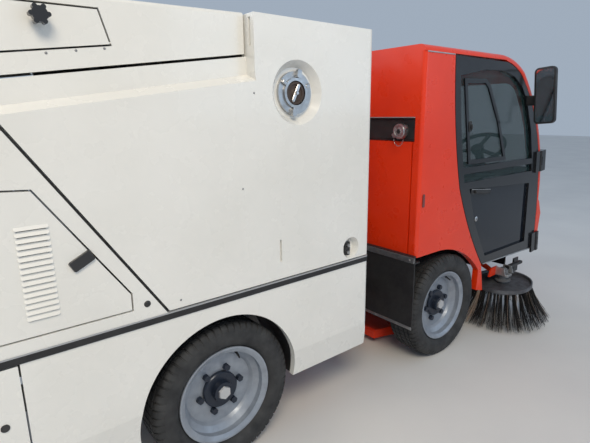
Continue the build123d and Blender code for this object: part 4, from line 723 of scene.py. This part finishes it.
def add_brush_arm(side_name, side):
    node = "brush_arm_" + side_name
    place = brush_place(side_name)
    hinge = Vector(joints["brush_lift_" + side_name]["pos_m"])
    brush = place.translation
    shape = Shape(node + "_bar", materials["orange_paint"])
    start = hinge.x - arm_width / 2
    plate_z = brush.z + plate_rise
    bar_start = abs(hinge.y) + eye_gap
    bar_end = abs(brush.y) - bar_reach
    section = [(bar_start, hinge.z + eye_half), (bar_end + bar_step, plate_z + bar_above),
               (bar_end, plate_z - plate_drop), (bar_start, hinge.z - eye_half)]
    section_place = axes((start, 0, 0), forward, (0, side, 0))
    across = [(y, z * side) for y, z in section]
    shape.prism(section_place, across, arm_width, bevel=0.003)
    barrel = axes((start, hinge.y, hinge.z), forward, leftward)
    shape.lathe(barrel, barrel_profile, steps=28)
    shape.use(materials["plate_steel"])
    plate = axes((brush.x, brush.y - side * plate_shift, plate_z - plate_drop), upward, forward)
    shape.prism(plate, rounded(*plate_size, radius=0.016), plate_thickness, bevel=0.002)
    shape.use(materials["motor_grey"])
    shape.lathe(place, motor_profile, steps=40)
    for turn in port_turns:
        port = place @ Vector((motor_radius * cos(turn), motor_radius * sin(turn), port_height))
        out = place.to_3x3() @ Vector((cos(turn), sin(turn), 0))
        shape.lathe(axes(port - port_sink * out, out, upward), port_profile, steps=6)
    shape.use(materials["plate_steel"])
    foot = plate_z + foot_rise
    for x, tall in cheeks:
        cheek = axes((brush.x + x, brush.y, foot), forward, leftward)
        outline = [(-cheek_foot, 0), (cheek_foot, 0), (cheek_top, tall), (-cheek_top, tall)]
        shape.prism(cheek, outline, cheek_thickness, bevel=0.001)
    shape.use(materials["orange_paint"])
    strap = axes((brush.x + strap_shift[0], brush.y + side * strap_shift[1], foot), leftward, forward)
    shape.prism(strap, strap_outline, strap_thickness, bevel=0.001)
    shape.use(materials["black_plastic"])
    link = axes((brush.x + link_shift[0], brush.y, foot + link_shift[1]), forward, leftward)
    shape.prism(link, rounded(*link_size, radius=0.004), link_length, bevel=0.003)
    flap = axes(Vector((brush.x, brush.y, foot)) + Vector(flap_shift), forward, leftward)
    shape.prism(flap, rounded(*flap_size, radius=0.004), flap_length, bevel=0.002)
    shape.done(node, node)


# Seats: crowned cushions with stitched channels on a pedestal

cushion_power = 7.0
cushion_cuts = 15
cushion_crown = 0.10
cushion_flat = 0.08
stitch_places = (-0.36, 0.36)
stitch_width = 0.035
stitch_depth = 0.005
seat_width = 0.46
seat_size = (seat_width, 0.43, 0.105)
seat_lean = (-0.05, 0, 1)
seat_back = 0.215
seat_rise = 0.196
back_size = (seat_width, 0.53, 0.105)
back_lean = (1, 0, 0.12)
back_front = 0.090
back_rise = 0.480
base_size = (0.36, 0.34)
base_height = 0.148
base_back = 0.25


def cushion(name, place, size):
    mesh = bmesh.new()
    bmesh.ops.create_cube(mesh, size=2.0)
    bmesh.ops.subdivide_edges(mesh, edges=mesh.edges, cuts=cushion_cuts, use_grid_fill=True)
    for corner in mesh.verts:
        stretch = sum(abs(value) ** cushion_power for value in corner.co) ** (-1 / cushion_power)
        x, y, z = stretch * corner.co
        crown = cushion_crown * (1 - x * x) * (1 - y * y)
        groove = max(exp(-((x - stitch) / stitch_width) ** 2) for stitch in stitch_places)
        height = z * (1 + crown - cushion_flat) * size[2] / 2 - (z > 0) * groove * stitch_depth
        corner.co = place @ Vector((x * size[0] / 2, y * size[1] / 2, height))
    for face in mesh.faces:
        face.smooth = True
    data = bpy.data.meshes.new(name)
    mesh.to_mesh(data)
    mesh.free()
    data.materials.append(materials["seat_cover"])
    piece = bpy.data.objects.new(name, data)
    bpy.context.scene.collection.objects.link(piece)
    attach(piece, "chassis")
    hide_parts("seats")


def add_seats():
    low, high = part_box("seats")
    for name, side in sides:
        y = side * (high.y - seat_width / 2)
        seat = axes((high.x - seat_back, y, low.z + seat_rise), seat_lean, leftward)
        cushion("seat_cushion_" + name, seat, seat_size)
        back = axes((low.x + back_front, y, low.z + back_rise), back_lean, leftward)
        cushion("seat_back_" + name, back, back_size)
        shape = Shape("seat_base_" + name, materials["black_plastic"])
        base = axes((high.x - base_back, y, low.z), upward, forward)
        shape.prism(base, rounded(*base_size, radius=0.03), base_height, bevel=0.01)
        shape.done("chassis", "seats")


# Small pieces on the body, each place as (ahead of the rear axle, height)

lid_rivets = ((-0.5456, 1.7232), (-0.460, 1.7363), (-0.373, 1.7486))
body_rivets = ((0.1587, 1.6175), (0.0915, 1.247), (-0.2034, 0.8536))
rivet_radius = 0.0042
rivet_height = 0.0022
plug_place = (-0.332, 0.874)
plug_radius = 0.0125
plug_height = 0.005
dome_shares = ((0.5, 0.92), (0.85, 0.6), (1.0, 0.15))
dome_root = 0.001


def dome(shape, place, radius, height):
    profile = [(0, height)] + [(radius * out, height * up) for out, up in dome_shares]
    shape.lathe(place, profile + [(radius, -dome_root), (0, -dome_root)], steps=18)


def add_rivets():
    for name, side in sides:
        for part, body, half, places in (("lid", "hopper_lid", lid_half, lid_rivets),
                                         ("hopper", "hopper", body_half, body_rivets)):
            shape = Shape(f"{part}_rivets_{name}", materials["rivet_grey"])
            for x, z in places:
                dome(shape, on_side(side, x, half, z), rivet_radius, rivet_height)
            shape.done(body)
        shape = Shape("housing_plug_" + name, materials["black_plastic"])
        dome(shape, on_side(side, plug_place[0], body_half, plug_place[1]), plug_radius, plug_height)
        shape.done("chassis")


# Slanted edge of the housing, from its foot to its head

edge_foot = (-0.250, 0.824)
edge_head = (-0.706, 1.530)
edge_slope = (edge_head[0] - edge_foot[0]) / (edge_head[1] - edge_foot[1])
seal_setback = 0.009
seal_width = 0.005
seal_height = 0.012
seal_inset = 0.016
seal_clearance = 0.004
seal_top = 1.52


def add_diagonal_seal():
    """Rubber strip standing on the housing's slanted edge."""
    for name, side in sides:
        shape = Shape("diagonal_seal_" + name, materials["trim_rubber"])
        low = belt_top + seal_clearance
        outline = []
        for z, out in ((low, 0), (low, seal_width), (seal_top, seal_width), (seal_top, 0)):
            x = edge_foot[0] - seal_setback + (z - edge_foot[1]) * edge_slope + out
            outline.append((x, -side * z))
        shape.prism(on_side(side, 0, body_half - seal_inset, 0), outline, seal_height, bevel=0.0015)
        shape.done("chassis")


# Recess across the cab's rear wall: rows of (finish, out, height, width less, tall, corner, depth, bevel)

rearward = (-1, 0, 0)
strip_low = 1.378
strip_high = 1.514
strip_middle = (strip_low + strip_high) / 2
strip_width = 1.442
rib_shift = 0.052
strip_rows = (
    ("black_plastic", 0.0195, strip_middle, 0.004, strip_high - strip_low - 0.004, 0.004, 0.006, 0.0015),
    ("black_plastic", 0.0135, strip_middle - rib_shift, 0.02, 0.006, 0.002, 0.003, 0.001),
    ("black_plastic", 0.0135, strip_middle + rib_shift, 0.02, 0.006, 0.002, 0.003, 0.001),
    ("edge_grey", 0.004, strip_high - 0.0035, 0.004, 0.0055, 0.0015, 0.007, 0.001),
)


def add_cab_strip():
    """Black lining of the recess across the cab's rear wall, with a grey edge above."""
    shape = Shape("cab_strip_lining", materials["black_plastic"])
    for finish, out, z, less, tall, corner, depth, bevel in strip_rows:
        shape.use(materials[finish])
        place = axes((cab_rear_x + out, 0, z), rearward, leftward)
        shape.prism(place, rounded(strip_width - less, tall, corner, steps=2), depth, bevel)
    shape.done("chassis")


cap_profile = (
    (0, 0.006), (0.012, 0.006), (0.016, 0.003), (0.027, 0.002), (0.029, 0.006), (0.036, 0.006),
    (0.038, 0.003), (0.038, -0.004), (0, -0.004),
)
cap_nut_profile = ((0, 0.0075), (0.013, 0.0075), (0.015, 0.005), (0.015, 0.001), (0, 0.001))
chain_links = 15
chain_start = 1.12
chain_sweep = 0.76
chain_half = 0.034
chain_sag = 0.052
chain_drop = 0.028
chain_out = 0.002
link_half_length = 0.0052
link_half_width = 0.0026
link_wire = 0.0009
link_corners = 8


def add_fill_cap():
    """Cap of the filler coupling with its nut, and the short chain that hangs from it."""
    low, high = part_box("fill_coupling")
    middle = (low + high) / 2
    face = axes((low.x, middle.y, middle.z), rearward, leftward)
    cap = Shape("fill_cap", materials["aluminium_cast"])
    cap.lathe(face, cap_profile, steps=32)
    cap.use(materials["black_plastic"])
    cap.lathe(face, cap_nut_profile, steps=6)
    cap.use(materials["bare_steel"])
    hook = Vector((low.x - chain_out, middle.y, middle.z - chain_drop))
    for link in range(chain_links):
        turn = pi * (chain_start + chain_sweep * link / (chain_links - 1))
        centre = hook + Vector((0, chain_half * cos(turn), chain_sag * sin(turn)))
        way = Vector((0, -chain_half * sin(turn), chain_sag * cos(turn))).normalized()
        across = way.cross(Vector(forward)) if link % 2 else Vector(forward)
        loop = []
        for corner in range(link_corners + 1):
            angle = 2 * pi * corner / link_corners
            loop.append(centre + link_half_length * cos(angle) * way + link_half_width * sin(angle) * across)
        cap.tube(loop, link_wire, sides=5)
    cap.done("chassis")


strip_centre_y = 0.5925
strip_length = 0.383
strip_thickness = 0.003
top_strip = 0.034
top_strip_drop = 0.020
foot_strip = 0.018
foot_strip_rise = 0.012
screw_radius = 0.0045
screw_height = 0.002
screw_steps = (-0.16, -0.08, 0.0, 0.08, 0.16)


def add_mud_strips():
    """Aluminium strips along the top and the foot of each mud plate."""
    low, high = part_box("mud_plates")
    for name, side in sides:
        shape = Shape("mud_plate_strips_" + name, materials["aluminium_cast"])
        for z, height in ((high.z - top_strip_drop, top_strip), (low.z + foot_strip_rise, foot_strip)):
            place = axes((low.x, side * strip_centre_y, z), rearward, leftward)
            outline = rounded(strip_length, height, radius=0.002, steps=2)
            shape.prism(place, outline, strip_thickness, bevel=0.0008)
            for step in screw_steps:
                screw = axes((low.x - strip_thickness, side * (strip_centre_y + step), z), rearward, leftward)
                dome(shape, screw, screw_radius, screw_height)
        shape.done("chassis")


# Plates of the cab's sides, in the rows that add_plates reads

handle_way = (1, 0, -0.105)
latch_way = (0.1, 0, -1)
sill_way = (1, 0, -0.0325)
lock_place = (1.842, 0.860)
lock_radius = 0.017
lock_height = 0.005
door_plates = (
    ("black_plastic", 1.872, cab_half, 1.036, handle_way, (0.236, 0.034), 0.012, 5, 0.004, 0.0015),
    ("black_plastic", 1.880, cab_half + 0.003, 1.036, handle_way, (0.190, 0.020), 0.009, 5, 0.016, 0.005),
    ("edge_grey", 1.872, cab_half + 0.003, 1.0505, handle_way, (0.226, 0.004), 0.0015, 2, 0.003, 0.001),
)
lock_plates = (
    ("black_plastic", 1.842, cab_half + 0.0045, 0.860, forward, (0.003, 0.013), 0.001, 2, 0.002, 0.0005),
    ("black_plastic", 1.701, cab_half - 0.010, 1.450, latch_way, (0.062, 0.030), 0.006, 5, 0.008, 0.003),
    ("black_plastic", 1.705, cab_half - 0.003, 1.448, latch_way, (0.030, 0.014), 0.005, 5, 0.010, 0.003),
)
trim_plates = (
    ("marker_red", 1.263, cab_half, 1.052, upward, (0.074, 0.020), 0.006, 5, 0.005, 0.002),
    ("edge_grey", 1.358, cab_half, 1.8465, forward, (0.248, 0.006), 0.002, 2, 0.004, 0.001),
)
sill_plates = (
    ("aluminium_cast", 2.34, cab_half - 0.002, 0.5125, sill_way, (0.735, 0.008), 0.002, 2, 0.004, 0.001),
)


def add_door_fittings():
    for name, side in sides:
        shape = Shape("door_handle_" + name, materials["black_plastic"])
        add_plates(shape, side, door_plates)
        shape.use(materials["bare_steel"])
        dome(shape, on_side(side, lock_place[0], cab_half, lock_place[1]), lock_radius, lock_height)
        add_plates(shape, side, lock_plates)
        shape.done("cab_door_" + name)


def add_cab_trim():
    for name, side in sides:
        shape = Shape("cab_side_trim_" + name, materials["marker_red"])
        add_plates(shape, side, trim_plates)
        shape.done("chassis")
        sill = Shape("door_sill_" + name, materials["aluminium_cast"])
        add_plates(sill, side, sill_plates)
        sill.done("cab_door_" + name)


mirror_lean = radians(4.5)
mirror_middle = (2.380, 0.889, 1.635)
mirror_size = (0.134, 0.364)
mirror_corner = 0.028
mirror_depth = 0.040
mirror_face = 0.018
rim_face = 0.0175
rim_corner = 0.022
rim_inside = (0.116, 0.344)
glass_size = (0.114, 0.342)
glass_corner = 0.021
bracket_shift = 0.014
bracket_height = 1.606
bracket_size = (0.050, 0.066)
bracket_length = 0.074


def add_mirror(name, side):
    """Housing leaning out at the foot, with a rubber rim, its glass and the bracket to the door."""
    node = "mirror_" + name
    middle = Vector((ahead(mirror_middle[0]), side * mirror_middle[1], mirror_middle[2]))
    across = (0, cos(mirror_lean), side * sin(mirror_lean))
    outer = rounded(*mirror_size, mirror_corner)
    inner = rounded(*rim_inside, rim_corner)
    shape = Shape(node + "_head", materials["black_plastic"])
    back = axes(middle - Vector((mirror_face, 0, 0)), forward, across)
    shape.prism(back, outer, mirror_depth, bevel=0.014)
    rim = axes(middle - Vector((rim_face, 0, 0)), rearward, across)
    rings = []
    for outline, rise in ((outer, 0.0), (outer, 0.003), (inner, 0.004), (inner, 0.0)):
        rings.append([shape.mesh.verts.new(rim @ Vector((x, y, rise))) for x, y in outline])
    shape.rows(rings, along=True)
    bracket_place = (middle.x + bracket_shift, side * (cab_half + 0.001), bracket_height)
    bracket = axes(bracket_place, (0, side, 0), forward)
    shape.prism(bracket, rounded(*bracket_size, radius=0.012), bracket_length, bevel=0.005)
    shape.use(materials["mirror_silver"])
    shape.prism(rim, rounded(*glass_size, glass_corner), depth=0.002, bevel=0.001)
    shape.done("cab_door_" + name, node)


hose_middle = (0.380, 1.622)
hose_inset = 0.020
hose_profile = (
    (0, 0.004), (0.016, 0.004), (0.020, 0.000), (0.034, 0.000), (0.036, 0.004), (0.046, 0.004),
    (0.048, 0.001), (0.048, -0.003), (0, -0.003),
)
lever_inset = 0.016
lever_way = (0.5, 0, 1)
lever_size = (0.082, 0.016)
bolt_profile = ((0, 0.014), (0.007, 0.014), (0.008, 0.012), (0.008, 0.004), (0, 0.004))
lug_turns = (25, 145, 265)
lug_circle = 0.072
lug_inset = 0.0195
lug_size = (0.024, 0.016)


def add_hose_cap():
    """Round cap in the hose coupling, with its lever, bolt and lugs."""
    x, z = hose_middle
    shape = Shape("hose_cap", materials["cap_brown"])
    shape.lathe(on_side(-1, x, body_half - hose_inset, z), hose_profile, steps=40)
    shape.use(materials["bare_steel"])
    lever = on_side(-1, x, body_half - lever_inset, z, lever_way)
    shape.prism(lever, rounded(*lever_size, radius=0.007), depth=0.006, bevel=0.002)
    shape.lathe(lever, bolt_profile, steps=6)
    shape.use(materials["aluminium_cast"])
    for turn in lug_turns:
        across = cos(radians(turn))
        up = sin(radians(turn))
        lug_place = (x + lug_circle * across, body_half - lug_inset, z + lug_circle * up)
        lug = on_side(-1, *lug_place, (across, 0, up))
        shape.prism(lug, rounded(*lug_size, radius=0.004), depth=0.010, bevel=0.003)
    shape.done("hopper")


latch_place = (0.711, 0.872)
latch_floor = body_half - 0.034
latch_size = (0.070, 0.036)
latch_rise = 0.012
nut_shifts = (-0.018, 0.018)
nut_profile = ((0, 0.009), (0.0085, 0.009), (0.0095, 0.0075), (0.0095, 0), (0, 0))
hook_out = 0.006
hook_wire = 0.003
hook_points = (
    (0.700, 0.905), (0.700, 0.925), (0.708, 0.934), (0.716, 0.934), (0.722, 0.925), (0.722, 0.905),
)


def add_belt_latches():
    """Toggle latch in each round recess above the belt."""
    x, z = latch_place
    for name, side in sides:
        shape = Shape("belt_latch_" + name, materials["black_plastic"])
        plate = on_side(side, x, latch_floor, z, upward)
        shape.prism(plate, rounded(*latch_size, radius=0.006), latch_rise, bevel=0.003)
        shape.use(materials["bare_steel"])
        for shift in nut_shifts:
            shape.lathe(on_side(side, x, latch_floor + latch_rise, z + shift), nut_profile, steps=6)
        hook = [(ahead(out), side * (latch_floor + hook_out), up) for out, up in hook_points]
        shape.tube(hook, hook_wire, sides=8)
        shape.done("hopper")


valve_turn = radians(62)
valve_circle = 0.181
valve_inset = 0.052
valve_lean = 0.35
valve_profile = (
    (0, 0.042), (0.0036, 0.042), (0.0038, 0.030), (0.0046, 0.028), (0.0058, 0.006), (0.0085, 0.001),
    (0.0085, -0.006), (0, -0.006),
)


def add_wheel_valves():
    across = cos(valve_turn)
    up = sin(valve_turn)
    for place_name in ("front", "rear"):
        for name, side in sides:
            low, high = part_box(f"{place_name}_rim_{name}")
            middle = (low + high) / 2
            face_y = abs(low.y if side < 0 else high.y) - valve_inset
            origin = (middle.x + valve_circle * across, side * face_y, middle.z + valve_circle * up)
            place = axes(origin, (-valve_lean * across, side, -valve_lean * up), forward)
            shape = Shape(f"{place_name}_valve_{name}", materials["black_plastic"])
            shape.lathe(place, valve_profile, steps=14)
            shape.done(f"{place_name}_wheel_{name}")


louvre_count = 16
louvre_pitch = 0.0191
louvre_middle = (-0.661, 1.0705)
slit_size = (0.080, 0.0036)
slit_drop = 0.0081
slit_inset = 0.0099


def add_louvre_shadows():
    """Painted shade: a dark sheet set into the slit under each louvre hood, where shade falls."""
    for name, side in sides:
        shape = Shape("louvre_slit_shade_" + name, materials["black_plastic"])
        for step in range(louvre_count):
            z = louvre_middle[1] + (step - (louvre_count - 1) / 2) * louvre_pitch - slit_drop
            place = on_side(side, louvre_middle[0], body_half - slit_inset, z)
            shape.prism(place, rounded(*slit_size, radius=0.0012, steps=2), depth=0.004, bevel=0.001)
        shape.done("engine_door_" + name)


floor_half = 30.0
floor_patch = 1.3
floor_colours = ((0.76, 0.75, 0.73), (0.70, 0.69, 0.68))
floor_roughness = 0.85


def add_floor():
    mesh = bpy.data.meshes.new("floor")
    corners = [(x * floor_half, y * floor_half, 0) for x, y in ((-1, -1), (1, -1), (1, 1), (-1, 1))]
    mesh.from_pydata(corners, [], [(0, 1, 2, 3)])
    floor = bpy.data.objects.new("floor", mesh)
    shader = Shader("pale_floor")
    patches = shader.range(shader.noise(floor_patch, 5.0), 0.0, 1.0)
    shader.link(shader.mix(patches, *floor_colours), shader.main.inputs["Base Color"])
    shader.main.inputs["Roughness"].default_value = floor_roughness
    mesh.materials.append(shader.material)
    bpy.context.scene.collection.objects.link(floor)


add_camera()
add_world()
add_floor()
add_lamps()

for side_name, side in sides:
    for place_name in ("front", "rear"):
        add_tyre(place_name, side_name)
    add_brush(side_name)
    add_brush_arm(side_name, side)
    add_mirror(side_name, side)
add_seats()
add_rivets()
add_diagonal_seal()
add_cab_strip()
add_fill_cap()
add_mud_strips()
add_door_fittings()
add_cab_trim()
add_hose_cap()
add_belt_latches()
add_wheel_valves()
add_louvre_shadows()
